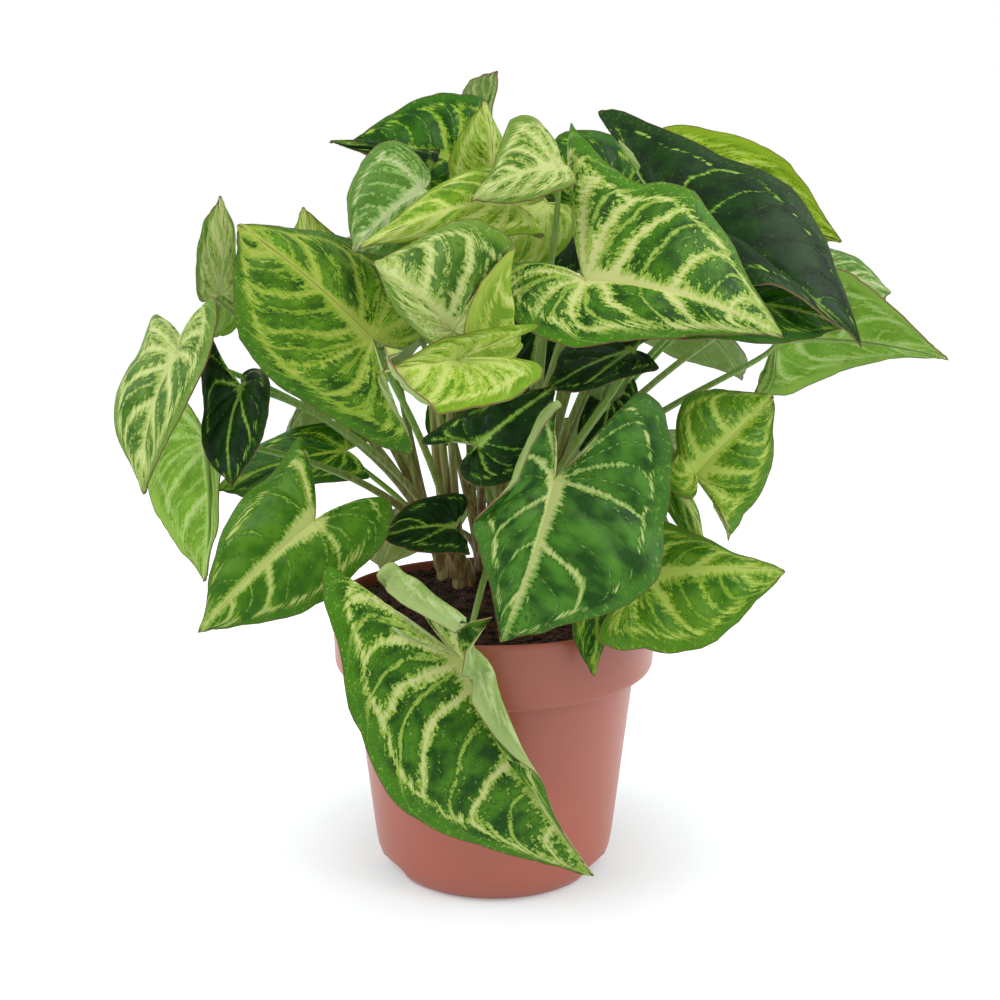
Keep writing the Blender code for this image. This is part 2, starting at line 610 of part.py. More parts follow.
def blade_sheet(blade, columns, rows):
    """Points and faces of the sheet, and its edge in order from the joint, by the right side and the tip."""
    outlines = [[slimmed(place, share) for place in along(HALF_OUTLINE, columns)] for share in blade.slim]
    points, index, faces, edges = [], {}, [], [[], []]

    def share(side, foot, margin, j):
        """How far out along a rib a row lies: even steps, or close together round a fold."""
        for fold in blade.folds:
            inner, outer = (past_fold(fold, *at) for at in ((0.0, foot), margin[:2]))
            if fold.side == side and inner[0] < 0.0 < outer[0]:
                crossing = inner[0] / (inner[0] - outer[0])
                at_fold = inner[1] + (outer[1] - inner[1]) * crossing
                if at_fold > 0.0:
                    bend = blade.bend_width(fold) / (outer[0] - inner[0])
                    stops = (0.0, crossing, min(crossing + bend, (1 + crossing) / 2), 1.0)
                    part = min(int(j / rows * 3), 2)
                    return stops[part] + (stops[part + 1] - stops[part]) * (j / rows * 3 - part)
        return j / rows

    def place(side, i, j):
        margin = outlines[side][i]
        foot = rib_foot(margin.y) if i < columns else 1.0
        if j == 0 or i == columns or i == 0:
            x, y = 0.0, (foot if i else 0.0)
            key = ("rib", round(y, 4))
        else:
            t = share(side, foot, margin, j)
            x, y = margin.x * t, foot + (margin.y - foot) * t
            key = (side, i, j)
        if key not in index:
            index[key] = len(points)
            points.append(blade.point(side, x, y))
        return index[key]

    for side in (0, 1):
        for i in range(columns):
            for j in range(rows):
                around = ((i, j), (i, j + 1), (i + 1, j + 1), (i + 1, j))
                unique = list(dict.fromkeys(place(side, *at) for at in around))
                if len(unique) > 2:
                    faces.append(tuple(unique if side else unique[::-1]))
        edges[side] = [place(side, i, rows) for i in range(columns + 1)]
    rim = edges[1] + edges[0][::-1][1:-1]
    return points, faces, rim


def halves(points, face):
    """A face of the sheet as triangles, split on its shorter diagonal, so both sides are cut alike."""
    if len(face) == 3:
        return [face]
    a, b, c, d = face
    if (points[a] - points[c]).length < (points[b] - points[d]).length:
        return [(a, b, c), (a, c, d)]
    return [(a, b, d), (b, c, d)]


def build_blade(name, leaf, mat):
    """One leaf blade: the sheet thickened half to each side, closed round its edge."""
    blade = Blade(leaf)
    columns, rows = (COLUMNS, ROLLED_ROWS) if any(leaf.roll) else (COLUMNS, ROWS)
    if leaf.folds:
        columns, rows = FOLDED_COLUMNS, FOLDED_ROWS
    points, faces, rim = blade_sheet(blade, columns, rows)
    faces = [part for face in faces for part in halves(points, face)]
    normals = [Vector((0, 0, 0)) for _ in points]
    for face in faces:
        a, b, c = (points[k] for k in face)
        facing = (b - a).cross(c - a).normalized()
        for k in face:
            normals[k] += facing
    half = BLADE_THICKNESS / 2
    upper = [(p + n.normalized() * half) * MM for p, n in zip(points, normals)]
    lower = [(p - n.normalized() * half) * MM for p, n in zip(points, normals)]
    count = len(points)
    solid = list(faces) + [tuple(k + count for k in face[::-1]) for face in faces]
    for a, b in zip(rim, rim[1:] + rim[:1]):
        solid.append((a, a + count, b + count, b))
    thing = object_from(name, upper + lower, solid, mat)
    bm = bmesh.new()
    bm.from_mesh(thing.data)
    bmesh.ops.recalc_face_normals(bm, faces=bm.faces)
    bm.to_mesh(thing.data)
    bm.free()
    return thing


def petiole_route(blade, foot):
    """Points of the stalk from the shoot to just under the blade's joint, and its direction there."""
    along_blade = blade.sides[0][0].normalized()
    dip = 0.0
    for side in (0, 1):
        for angle in (0.5, 1.2, 1.9, 2.5):
            ray = direction(blade.sides[side], angle).normalized()
            dip = min(dip, ray.dot(blade.up) * (PETIOLE_END_RADIUS + 0.3))
    seat = blade.joint - blade.up * (BLADE_THICKNESS / 2 + SEAT_GAP - dip + 0.1)
    arrive = (blade.up + along_blade * 0.15).normalized()
    base = Vector(foot)
    span = (seat - base).length
    rise = Vector((0, 0, 1)) * 0.45 + Vector((seat.x - base.x, seat.y - base.y, 0.0)).normalized() * 0.12
    control = [base, base + rise * span, seat - arrive * min(span * 0.28, PETIOLE_BEND), seat]
    route = []
    for k in range(PETIOLE_STEPS + 1):
        t = k / PETIOLE_STEPS
        a, b, c, d = control
        route.append(a * (1 - t) ** 3 + b * 3 * t * (1 - t) ** 2 + c * 3 * t * t * (1 - t) + d * t ** 3)
    return route, arrive


def tube(name, route, arrive, mat):
    """A round stalk along a route, thinner towards its end, with flat ends."""
    verts, faces = [], []
    steps, n = len(route) - 1, PETIOLE_SIDES
    across = (route[1] - route[0]).cross(Vector((0.3, 0.5, 0.1))).normalized()
    for k, centre in enumerate(route):
        ahead = arrive if k == steps else (route[k + 1] - route[max(0, k - 1)]).normalized()
        across = (across - ahead * across.dot(ahead)).normalized()
        other = ahead.cross(across)
        share = min(1.0, k / steps * 1.25)
        radius = PETIOLE_BASE_RADIUS + (PETIOLE_END_RADIUS - PETIOLE_BASE_RADIUS) * share
        for turn in range(n):
            a = math.tau * turn / n
            verts.append((centre + (across * math.cos(a) + other * math.sin(a)) * radius) * MM)
    for k in range(steps):
        for turn in range(n):
            a, b = k * n + turn, k * n + (turn + 1) % n
            faces.append((a, b, b + n, a + n))
    faces.append(tuple(range(n))[::-1])
    faces.append(tuple(steps * n + turn for turn in range(n)))
    return object_from(name, verts, faces, mat)


def shoot_for(leaf):
    """The shoot whose bearing from the crown is nearest the leaf's."""
    bearing = math.degrees(math.atan2(leaf.joint[1] - CROWN[1], leaf.joint[0] - CROWN[0]))
    apart = {name: abs((foot[2] - bearing + 180.0) % 360.0 - 180.0) for name, foot in SHOOTS.items()}
    return min(apart, key=apart.get)


def build_shoot(name, leaves, mat):
    """A short fleshy crown with the stalks of its leaves growing out of it, joined into one body."""
    x, y, _ = SHOOTS[name]
    ring = [math.tau * k / 12 for k in range(12)]
    round_foot = [(x + SHOOT_RADIUS * math.cos(a), y + SHOOT_RADIUS * math.sin(a)) for a in ring]
    foot_height = max(soil_height(*place) for place in round_foot + [(x, y)]) + SEAT_GAP + SHOOT_LIFT
    profile = [(0, 0), (SHOOT_RADIUS, 0), (SHOOT_RADIUS * 0.9, SHOOT_HEIGHT * 0.6),
               (SHOOT_RADIUS * 0.5, SHOOT_HEIGHT), (0, SHOOT_HEIGHT)]
    core = turned("shoot_" + name, profile, 12, mat)
    core.data.transform(shifted(x, y, foot_height))
    stalks = []
    for k, leaf in enumerate(leaves):
        blade = Blade(leaf)
        toward = Vector((leaf.joint[0] - x, leaf.joint[1] - y, 0.0)).normalized()
        foot = Vector((x, y, foot_height + 3.4)) + toward * (1.6 + 0.25 * k)
        route, arrive = petiole_route(blade, foot)
        stalks.append(tube("stalk", route, arrive, None))
    return join_bodies(core, stalks, "UNION")


def main():
    clear_scene()
    plastic = material("pot_plastic", (0.48, 0.14, 0.10), 0.45)
    peat = material("soil_peat", (0.03, 0.015, 0.01), 0.95)
    stem_green = material("stem_green", (0.22, 0.30, 0.09), 0.5)
    build_pot(plastic)
    build_soil(peat)
    groups = {name: [] for name in SHOOTS}
    for name, leaf in LEAVES.items():
        groups[shoot_for(leaf)].append(leaf)
        build_blade("leaf_" + name, leaf, material("leaf_" + name, (0.10, 0.30, 0.05), 0.4))
    for name, leaves in groups.items():
        build_shoot(name, leaves, stem_green)


main()
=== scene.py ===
"""Potted arrowhead vine: the finish of every surface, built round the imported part.

Lengths in the tables and in the leaf functions are millimetres, and MM turns them into metres. The pot
stands on z = 0, and -Y is the front.
"""

import math
from collections import namedtuple
from types import SimpleNamespace

import bmesh
import bpy
from bpy.props import FloatProperty, FloatVectorProperty, IntProperty, PointerProperty
from mathutils import Matrix, Vector, noise


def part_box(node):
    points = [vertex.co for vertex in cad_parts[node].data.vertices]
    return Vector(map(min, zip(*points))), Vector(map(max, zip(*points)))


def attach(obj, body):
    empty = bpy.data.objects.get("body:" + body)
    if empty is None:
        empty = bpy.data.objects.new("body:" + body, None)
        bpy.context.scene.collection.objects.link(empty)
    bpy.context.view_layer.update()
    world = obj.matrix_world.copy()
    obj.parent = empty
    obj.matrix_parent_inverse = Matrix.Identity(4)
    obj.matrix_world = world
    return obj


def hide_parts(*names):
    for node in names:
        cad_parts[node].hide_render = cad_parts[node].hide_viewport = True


bl_info = {
    "name": "Potted arrowhead vine",
    "version": (1, 0, 0),
    "blender": (4, 5, 0),
    "location": "View3D > Sidebar > Vine",
    "description": "Builds the leaves, stalks, soil, pot and stage of a potted arrowhead vine",
    "category": "Object",
}

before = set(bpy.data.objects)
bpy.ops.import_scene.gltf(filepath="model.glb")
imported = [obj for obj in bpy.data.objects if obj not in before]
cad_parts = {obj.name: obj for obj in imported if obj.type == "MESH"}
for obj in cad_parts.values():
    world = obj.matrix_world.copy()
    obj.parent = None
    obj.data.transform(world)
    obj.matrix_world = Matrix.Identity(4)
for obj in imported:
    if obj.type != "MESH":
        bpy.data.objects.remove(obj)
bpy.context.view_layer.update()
BODY = "root"
MM = 0.001

POT_LOW, POT_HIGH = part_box("pot")
RIM_RADIUS = (POT_HIGH.x - POT_LOW.x) / 2 / MM
POT_HEIGHT = (POT_HIGH.z - POT_LOW.z) / MM

# Pot walls as (radius, height), for a rim 65 mm in radius and a pot 110 mm high.
DRAWN_RIM, DRAWN_HEIGHT = 65.0, 110.0
POT_OUTER = [
    (43.0, 0.0), (44.4, 0.6), (46.6, 3.2), (48.2, 7.2), (49.0, 12.0),
    (56.9, 82.0), (57.8, 82.5), (57.9, 83.3), (63.6, 84.4), (64.2, 86.0), (65.0, 108.0), (64.6, 109.6),
    (63.9, 110.0),
]
POT_INNER = [(63.2, 109.4), (62.5, 87.6), (61.8, 86.4), (55.6, 84.8), (47.4, 13.0), (45.6, 8.0), (42.0, 5.2)]
POT_RING_INNER = 40.5
POT_PLATE_UNDERSIDE = 2.6
POT_CENTRE_DISC = 14.0
DRAIN_HOLES = 6
DRAIN_HOLE_RADIUS = 3.6
DRAIN_RING_RADIUS = 27.0
NOTCH_ANGLES = (62.0, 118.0, 242.0, 298.0)
NOTCH_WIDTH = 23.0
NOTCH_HEIGHT = 7.0
NOTCH_SQUARE = 0.6  # 1 is a half round, and less is squarer

SOIL_CLEARANCE = 0.4
SOIL_EDGE_HEIGHT = 103.0
SOIL_CROWN_HEIGHT = 113.0
SOIL_RADIUS = 62.0
SOIL_WALL = [  # the pot's inner wall, less the clearance
    (0.0, 5.2 + SOIL_CLEARANCE), (41.6, 5.2 + SOIL_CLEARANCE), (45.1, 8.3), (46.9, 13.2),
    (55.1, 85.2 + SOIL_CLEARANCE), (61.4, 86.8 + SOIL_CLEARANCE), (62.0, 88.0),
    (62.3, SOIL_EDGE_HEIGHT - 1.0),
]
SOIL_RINGS, SOIL_SEGMENTS = 44, 160
FIBRE_RADIUS = 0.22

PETIOLE_BEND = 20.0  # longest run over which a stalk turns to meet its blade
SHOOT_RADIUS = 5.0
SHOOT_HEIGHT = 9.0
SHEATH_FLARE = 0.9  # how much a stalk's foot adds to its radius
FOOT_HEIGHT, FOOT_OUT, FOOT_STEP = 4.6, 1.6, 0.25  # where a stalk leaves its shoot, each further out
RIB_RUN, RIB_RADIUS, RIB_TIP_RADIUS = 0.92, 0.95, 0.12  # raised rib: share of the blade, and radii
SHOOTS = {  # foot of each shoot on the soil: x, y, and the bearing it leans to
    "front_left": (-12.0, 6.0, 225.0),
    "front_right": (4.0, 5.0, 300.0),
    "right": (9.0, 20.0, 10.0),
    "back": (-4.0, 31.0, 90.0),
    "left": (-19.0, 19.0, 170.0),
}
CROWN = (-5.0, 16.0)

# Stage, in metres. The camera looks along +Y, dipped by CAMERA_DIP degrees.
FLOOR_REACH = 3.0
# Round the pot's foot the floor glows less than beyond: a painted shadow that deepens its real one.
PAINTED_SHADOW_RADII, FAR_GLOW = (0.05, 0.145), 0.40  # radii between which the floor's glow rises, and by how much
KEY_PLACE, FILL_PLACE, LAMP_TARGET = (-0.80, -0.22, 0.90), (0.80, -0.20, 0.80), (0.0, 0.0, 0.15)
LAMP_SIZE = 0.8
CAMERA_PLACE = (0.0, -0.552, 0.268)
CAMERA_DIP, CAMERA_LENS, CAMERA_SHIFT = 12.1, 51.12, 0.006

# Half of a flat blade, in blade lengths: x out from the rib, y from the petiole's joint to the tip.
HALF_OUTLINE = [
    (0.0, 0.0), (0.07, -0.22), (0.17, -0.50), (0.27, -0.63), (0.38, -0.60), (0.48, -0.45), (0.535, -0.22),
    (0.54, 0.03), (0.49, 0.27), (0.37, 0.50), (0.20, 0.73), (0.07, 0.90), (0.0, 1.0),
]
# Side ribs are counted from the basal lobe to the tip, and each vein lies halfway between two counts.
RIB_PLACES = (0.0, 3.2, 5.0, 6.5, 7.8, 9.1, 10.3, 12.0)
RIB_COUNTS = (-0.3, 0.5, 1.5, 2.5, 3.5, 4.5, 5.5, 6.6)
VEIN_BEND, VEIN_HOOK = 0.35, 1.1  # swing of a side vein towards the tip: steadily, and by the margin
MARGIN_VEIN = 0.80  # share of the way to the margin at which the marginal vein runs
SIDE_TAPER, MIDRIB_TAPER = 0.7, 0.85  # share of its width that a vein loses on its way
SPIKE_LEAST, SPIKE_GAIN = 0.9, 1.6  # length in mm of the spikes beside a vein, and what its width adds
HEART_END = 0.22  # share of the way to the tip over which the midrib is broader
SPIKE_RISES = (0.42, 0.76)  # noise at which a spike starts and is whole
WIDE_POINT = (0.54, 0.03)
UPPER_POINT = (0.37, 0.50)
LOBE_POINT = (0.32, -0.63)
WIDE_ANGLE = math.atan2(*WIDE_POINT)
UPPER_ANGLE = math.atan2(*UPPER_POINT)
LOBE_ANGLE = math.atan2(*LOBE_POINT)
ROLL_START = 0.5
RIB_START = 0.10
FRILLS = 14.0  # swells of the outline from joint to tip
MOST_FRILL = 0.018  # in blade lengths
WAVED_LENGTH = 60.0  # a blade shorter than this waves less
FOLD_RADIUS = 1.4
FOLD_OPENS = 0.2  # share of a fold's line over which it turns from flat to full
SLIM_FROM = 0.35  # how far below the joint a slim lobe reaches its share, in blade lengths
SLIM_MIDDLE = 0.38  # where the middle line of a slim lobe lies, in blade lengths out from the rib
# Columns and rows of the part's blades: plain, rolled and folded.
PACKED_PLAIN, PACKED_ROLLED, PACKED_FOLDED = (8, 2), (8, 4), (20, 9)

Fold = namedtuple("Fold", "side start end turn")
Leaf = namedtuple("Leaf", "look tip left right bow roll folds slim")
# look: a name in LOOKS. The others are as in the part: offsets from the joint of the tip, and of each
# side's widest point, shoulder and lobe end; how far midrib, sides and lobes arch; how many degrees each
# margin rolls over; the folds; and how wide the basal lobes are, as a share of the plain outline's.
# A Fold turns over what lies past a line of the flat half-blade, away from the joint, by turn degrees.
# It opens at the line's start. side is 0 for left and 1 for right.


def placed(look, tip, left, right, bow=(4, 2, 2), roll=(0, 0, 0, 0), folds=(), slim=(1.0, 1.0)):
    """A leaf given point by point."""
    return Leaf(look, tip, left, right, bow, roll, folds, slim)


def posed(look, bearing, droop, length, fold=14.0, bow=(5.0, 3.0, 2.0)):
    """A regular blade: bearing turns from +X towards +Y, droop is below level, fold lowers both sides."""
    b, d, f = (math.radians(v) for v in (bearing, droop, fold))
    ahead = Vector((math.cos(b) * math.cos(d), math.sin(b) * math.cos(d), -math.sin(d)))
    right = Vector((math.sin(b), -math.cos(b), 0.0))
    up = right.cross(ahead)
    sides = []
    for side in (-1.0, 1.0):
        out = right * (side * math.cos(f)) - up * math.sin(f)
        wide = (out * WIDE_POINT[0] + ahead * WIDE_POINT[1]) * length
        lobe = (out * LOBE_POINT[0] + ahead * LOBE_POINT[1] * 0.95 - up * 0.10) * length
        sides.append((tuple(wide), None, tuple(lobe)))
    return Leaf(look, tuple(ahead * length), *sides, bow, (0, 0, 0, 0), (), (1.0, 1.0))


LEAVES = {
    "heart_front": placed(
        "crisp", (-19, -18, -54), ((39, 4, -19), (26, -12, -42), (35, 14, 28)),
        ((-28, -14, -12), (-25, -20, -25), (-8, -4, 39)), (5, 3, 4), (0, 0, 0, 130), slim=(0.85, 1)),
    "draped_front": placed(
        "netted", (47, -2, -81), ((23, -12, 0), (30, -10, -47), (-22, 12, 40)),
        ((-36, -8, -22), (-11, -10, -58), (-45, 8, 32)), (6, 4, 3), (0, 0, 0, 0),
        folds=((0, (0.24, -0.14), (0.4, 0.44), 160), (0, (0.385, -0.14), (0.14, -0.56), 155)),
        slim=(1, 0.42)),
    "right_low": placed(
        "mottled", (54, 0, 2), ((4, 14, 19), (27, 8, 12), (-12, 22, 17)),
        ((-1, -24, -20), (26, -18, -19), (-15, -20, -11)), (5, 3, 3)),
    "small_front": placed(
        "bottle", (-1, -7, -29), ((6, -1, -6), (4, -3, -16), (6, 7, 3)),
        ((-9, -5, -7), (-7, -7, -19), (-5, 5, 3)), (2, 1, 1)),
    "crown_low": placed(
        "deep", (-27, -16, 0), ((-5, -18, -5), (-19, -18, -3), (6, -14, -6)),
        ((-6, 10, 11), (-20, -2, 7), (5, 12, 8)), (3, 2, 1)),
    "arrow_left": placed(
        "plain", (-43, -4, -41), ((13, -6, -20), (-10, -9, -34), (27, 2, 7)),
        ((-19, 14, 13), (-35, 4, -7), (-6, 18, 26)), (4, 3, 2)),
    "pale_centre": placed(
        "creamy", (-28, 16, 22), ((-18, 2, 5), (-24, 8, 15), (-6, -2, -5)),
        ((21, 6, 28), (1, 13, 36), (43, 2, 0)), (5, 3, 3), (0, 0, 0, 0),
        folds=((1, (0.56, 0.08), (0.206, -0.245), 155),)),
    "pale_lower": placed(
        "lime", (-24, -12, -3), ((7, -21, -13), (-13, -22, -13), (28, -16, -2)),
        ((-3, -4, 8), (-15, -9, 2), (26, -5, 12)), (3, 1, 1), (0, 0, 0, 0),
        folds=((0, (0.44, 0.27), (0.04, 0.8), 125),)),
    "big_centre": placed(
        "netted", (70, 2, -20), ((20, 18, 33), (46, 16, 22), (-4, 32, 54)),
        ((-6, -20, -21), (28, -12, -19), (-31, -4, 2)), (8, 4, 3)),
    "under_centre": placed(
        "deep", (-32, -19, -12), ((-10, -14, -10), None, (9, -6, -6)),
        ((-16, 9, 6), None, (7, 14, 6)), (3, 2, 2)),
    "dark_centre": placed(
        "deep", (28, 7, 20), ((-6, 5, 10), None, (-19, -2, 1)),
        ((15, -6, -9), None, (-5, -11, -9)), (3, 2, 2)),
    "grey_centre": placed(
        "silver", (-9, -5, -21), ((-1, -7, -13), None, (5, -7, -2)),
        ((-15, -1, -11), None, (-6, 7, 1)), (3, 1, 1)),
    "light_left": placed(
        "washed", (-48, 12, 39), ((-38, 2, -13), None, (13, -10, -39)),
        ((4, 24, 25), None, (17, 22, 0)), (6, 4, 4), slim=(0.7, 1)),
    "twisted_left": placed(
        "pale", (4, -6, 36), ((-5, -8, 14), None, (-5, -4, -3)),
        ((7, 4, 13), None, (6, 2, -4)), (4, 2, 2)),
    "folded_left": placed(
        "pale", (-13, -14, -51), ((13, -20, -4), (-1, -22, -30), (16, -10, 22)),
        ((-19, 14, -2), (-26, 2, -25), (-10, 18, 13)), (5, 3, 3)),
    "hanging_left": placed(
        "fresh", (-2, -6, -56), ((-26, 10, -17), (-20, 6, -36), (-15, 12, 15)),
        ((5, -4, -20), None, (6, 4, 8)), (4, 2, 2)),
    "curled_left": placed(
        "deep", (-4, -8, -36), ((11, -12, -8), None, (6, 8, 6)),
        ((-15, 2, -14), None, (-16, 8, 20)), (5, 3, 3), (0, 0, 60, 0)),
    "lime_left": placed(
        "fresh", (-13, -6, -26), ((-10, -10, -9), None, (-4, -8, 5)),
        ((-1, 8, -19), None, (3, 10, -1)), (2, 1, 1)),
    "back_left": placed(
        "bottle", (-54, -4, -16), ((-22, -12, -14), None, (10, -12, -9)),
        ((-24, 12, 7), None, (9, 20, 5)), (4, 2, 2)),
    "right_mid": placed(
        "mottled", (33, 26, 26), ((-6, 4, 8), (1, 16, 29), (-5, -12, -6)),
        ((18, -8, -12), (29, 4, 4), (11, -18, -18)), (5, 3, 2)),
    "right_inner": placed(
        "plain", (17, -8, -28), ((13, 6, -10), None, (6, 10, 7)),
        ((3, -8, -16), None, (-9, -10, -3)), (3, 1, 1)),
    "right_far": placed(
        "fresh", (68, -2, -7), ((10, 16, -24), (39, 16, -11), (-2, 20, -26)),
        ((11, -10, 31), (39, -8, 18), (-15, -10, 16)), (6, 3, 3)),
    "dark_top": placed(
        "deep", (72, -12, -45), ((22, 14, 24), (55, 8, 3), (-25, 22, 41)),
        ((20, -24, -24), (38, -26, -23), (-16, -22, -13)), (9, 4, 3), slim=(0.6, 1)),
    "under_dark": placed(
        "bottle", (57, 10, -11), ((27, 18, 13), None, (-3, 22, 13)),
        ((11, -12, -14), None, (-22, -14, -13)), (4, 3, 2)),
    "pale_right": placed(
        "pale_and_painted_sheen", (34, -2, -7), ((15, 10, 9), None, (-2, 12, 11)),
        ((17, -8, -14), None, (-6, -12, -9)), (4, 2, 2)),
    "lime_top": placed(
        "lit", (62, 2, -22), ((30, 8, -18), None, (2, 12, -13)),
        ((10, 16, 21), (42, 12, 8), (-12, 12, 13)), (6, 3, 2)),
    "round_top": placed(
        "pale_and_painted_sheen", (-25, -4, -22), ((-5, -7, -19), (-15, -6, -23), (8, -6, -12)),
        ((-19, 7, 13), (-27, 2, -3), (-2, 10, 11)), (5, 3, 2)),
    "lime_upper": placed(
        "lime", (-51, -12, -16), ((-4, -9, -13), (-29, -11, -14), (12, -6, -12)),
        ((-4, 14, 13), (-28, 2, 3), (15, 16, 3)), (5, 3, 2)),
    "pale_upper": placed(
        "pale", (-30, -10, -11), ((-4, -12, -9), (-18, -12, -12), (6, -2, -4)),
        ((-16, 12, 17), (-21, 2, 4), (-2, 14, 9)), (4, 2, 2)),
    "lime_upright": placed(
        "lime", (-3, 0, 28), ((-16, -4, 5), (-10, -3, 18), (-10, -8, -4)),
        ((8, 8, 7), (2, 6, 19), (6, 6, -4)), (3, 2, 1)),
    "rolled_tip": placed(
        "deep", (-36, -7, 9), ((-11, -6, 1), None, (1, -6, -4)),
        ((-9, 0, 7), None, (3, 8, 7)), (3, 2, 1)),
    "dark_top_left": placed(
        "bottle", (-39, -14, 5), ((-2, -8, -13), (-20, -11, -5), (8, -7, -11)),
        ((1, 9, 25), (-18, 1, 20), (12, 9, 16)), (4, 3, 2)),
    "top_tip": placed(
        "silver", (6, -4, 17), ((5, -4, 7), None, (4, -4, -1)),
        ((-7, 0, 10), None, (-4, 2, 1)), (1, 1, 1)),
    "green_back": placed(
        "bottle", (-23, -2, 22), ((-21, -6, 1), (-25, -5, 14), (-4, 0, -11)),
        ((9, 12, 26), (-12, 6, 29), (27, 14, 9)), (4, 2, 2)),
    "lime_middle": placed(
        "lime", (-19, -14, -20), ((0, -14, -22), None, (11, -2, -6)),
        ((-25, 0, -3), None, (-10, 6, 6)), (3, 2, 1)),
    "dark_middle": placed(
        "deep", (-24, -8, -17), ((-3, -10, -19), None, (8, -3, -5)),
        ((-26, -1, 1), None, (-9, 5, 11)), (3, 2, 1)),
    "inner_back": placed(
        "deep", (-10, -10, -43), ((5, -4, -20), None, (9, 6, 9)),
        ((-18, -4, -15), None, (-11, 6, 9)), (4, 2, 2)),
    "inner_right": placed(
        "deep", (-7, -8, -35), ((9, -6, -14), None, (8, 2, 6)),
        ((-14, -2, -13), None, (-7, 4, 6)), (3, 2, 2)),
    "inner_left": placed(
        "bottle", (-11, -8, -33), ((9, -4, -15), None, (7, 4, 6)),
        ((-14, -2, -12), None, (-7, 4, 7)), (3, 2, 2)),
    "spike_left": placed(
        "lime", (-9, -4, 35), ((-13, 4, 12), None, (-7, 6, -7)),
        ((10, -4, 12), None, (6, -2, -7)), (3, 2, 1)),
    "back_upper": posed("netted", 92, 20, 50),
    "back_upper_left": posed("mottled", 142, 28, 48),
    "back_upper_right": posed("deep", 58, 26, 52),
    "back_left_mid": posed("netted", 114, 40, 56),
    "back_mid": posed("washed", 85, 44, 60),
    "back_right_mid": posed("plain", 46, 34, 54),
    "back_side_left": posed("plain", 147, 44, 50),
    "back_low": posed("netted", 84, 56, 56),
    "back_low_left": posed("plain", 122, 44, 46),
    "back_low_right": posed("mottled", 58, 48, 52),
    "back_low_side": posed("plain", 62, 44, 38),
}

# Colours run from a vein outwards: cream on the vein, lime beside it, green, and dark between veins.
# margin is the colour of the band along the edge. midrib and vein are half-widths in mm at the joint, and
# uneven is how many side veins are faint. halo is how far the pale tissue runs from a vein, streak how far
# it is drawn out along the ribs, and speckle how far its edge is broken up, all in mm. gaps is how much of
# the marginal vein is missing, and under is the four colours seen from below.
SILVER_UNDER = ("#d0e29e", "#bcd284", "#aac872", "#9cbc60")
LIT_UNDER = ("#c6de5c", "#a6ca2c", "#8ab414", "#669608")
LIME_UNDER = ("#d6e080", "#b6ce52", "#9cc03a", "#7fa82c")
FRESH_UNDER = ("#d0ea90", "#b2da60", "#9ccb48", "#7eb030")
Look = namedtuple("Look", "colours margin midrib vein uneven halo streak speckle gaps under",
                  defaults=[SILVER_UNDER])
PALE = Look(("#dfe99a", "#b6ce68", "#6f9a34", "#3a6c12"), "#7fa83c", 1.8, 1.2, 0.1, 1.5, 1.8, 1.4, 0.2)
WASHED = Look(("#bccd58", "#95b834", "#6c9f1c", "#275604"), "#467c12", 1.8, 1.1, 0.3, 1.9, 2.2, 1.6, 0.2)
LOOKS = {
    "crisp": Look(
        ("#dbe392", "#9cc05c", "#58942c", "#225210"), "#4a8428", 1.7, 0.5, 0.8, 0.8, 0.2, 0.3, 0.5),
    "netted": Look(
        ("#e4e99a", "#aecc54", "#56901c", "#215008"), "#54921a", 2.0, 1.2, 0.2, 1.9, 1.3, 2.3, 0.2),
    "washed": WASHED,
    "mottled": Look(
        ("#c4d966", "#92b832", "#6a9e1e", "#3c740e"), "#5a901a", 2.2, 1.0, 0.4, 1.8, 1.6, 1.9, 0.3),
    "fresh": Look(
        ("#c3dc7c", "#9cc24c", "#80ae2a", "#5a8e16"), "#74a622", 1.6, 0.8, 0.4, 2.0, 1.6, 1.4, 0.3,
        FRESH_UNDER),
    "lime": Look(
        ("#dcea84", "#b2d04a", "#8ab424", "#5e9010"), "#8cb826", 1.8, 0.8, 0.4, 2.5, 1.8, 1.4, 0.3),
    "pale": PALE,
    "creamy": PALE._replace(under=LIME_UNDER),
    # This look's lighter base greens are partly the leaves' own colour and partly painted sheen.
    "pale_and_painted_sheen": Look(
        ("#cfe0a0", "#9cc266", "#73a040", "#508424"), "#629430", 1.3, 0.6, 0.5, 1.4, 1.3, 1.2, 0.4),
    "deep": Look(
        ("#a8c85c", "#5a8c1a", "#1b460a", "#0b2a06"), "#1b450b", 0.9, 0.3, 1.0, 0.8, 0.4, 0.8, 0.8),
    "bottle": Look(
        ("#b8d250", "#7dae24", "#3f7e10", "#1c4c06"), "#3a7a0e", 1.0, 0.5, 0.8, 1.2, 0.9, 1.3, 0.6),
    "plain": Look(
        ("#ccd87c", "#97bb44", "#5a901a", "#397006"), "#508616", 2.0, 0.6, 1.2, 1.6, 0.8, 0.8, 0.9),
    "silver": Look(
        ("#c4d69a", "#a8c07c", "#92ae66", "#809e54"), "#8caa60", 0.4, 0.3, 0.5, 1.0, 0.5, 0.3, 0.3),
    "lit": WASHED._replace(under=LIT_UNDER),
}

# What each face corner of a blade keeps: count of the side rib, share of the way out, mm per count, mm
# from midrib to margin, mm from the midrib, and share of the way to the tip.
MARKS = ("rib", "out", "spread", "reach", "midrib", "ahead")
# Patterns in space, in repeats to a metre: stripes of a stalk 1.1 mm across and 17 mm long, flow clouds
# of the pot 71 mm wide, dry patches 11 mm long, shades along a fibre 17 mm long, and dents of 1.1 mm.
STALK_STRIPES, FLOW_CLOUDS, DRY_PATCHES = (900.0, 900.0, 60.0), 14.0, 90.0
FIBRE_SHADES, CRUMB_DENTS = 60.0, 900.0
SEED_STEP = 3.7  # between the waves of one leaf and the next
LEAF_SHIFT = 137.0  # mm between the patterns of one leaf and the next
LANE = 12.0  # mm that one count of the ribs stands for where a pattern has to run on across them
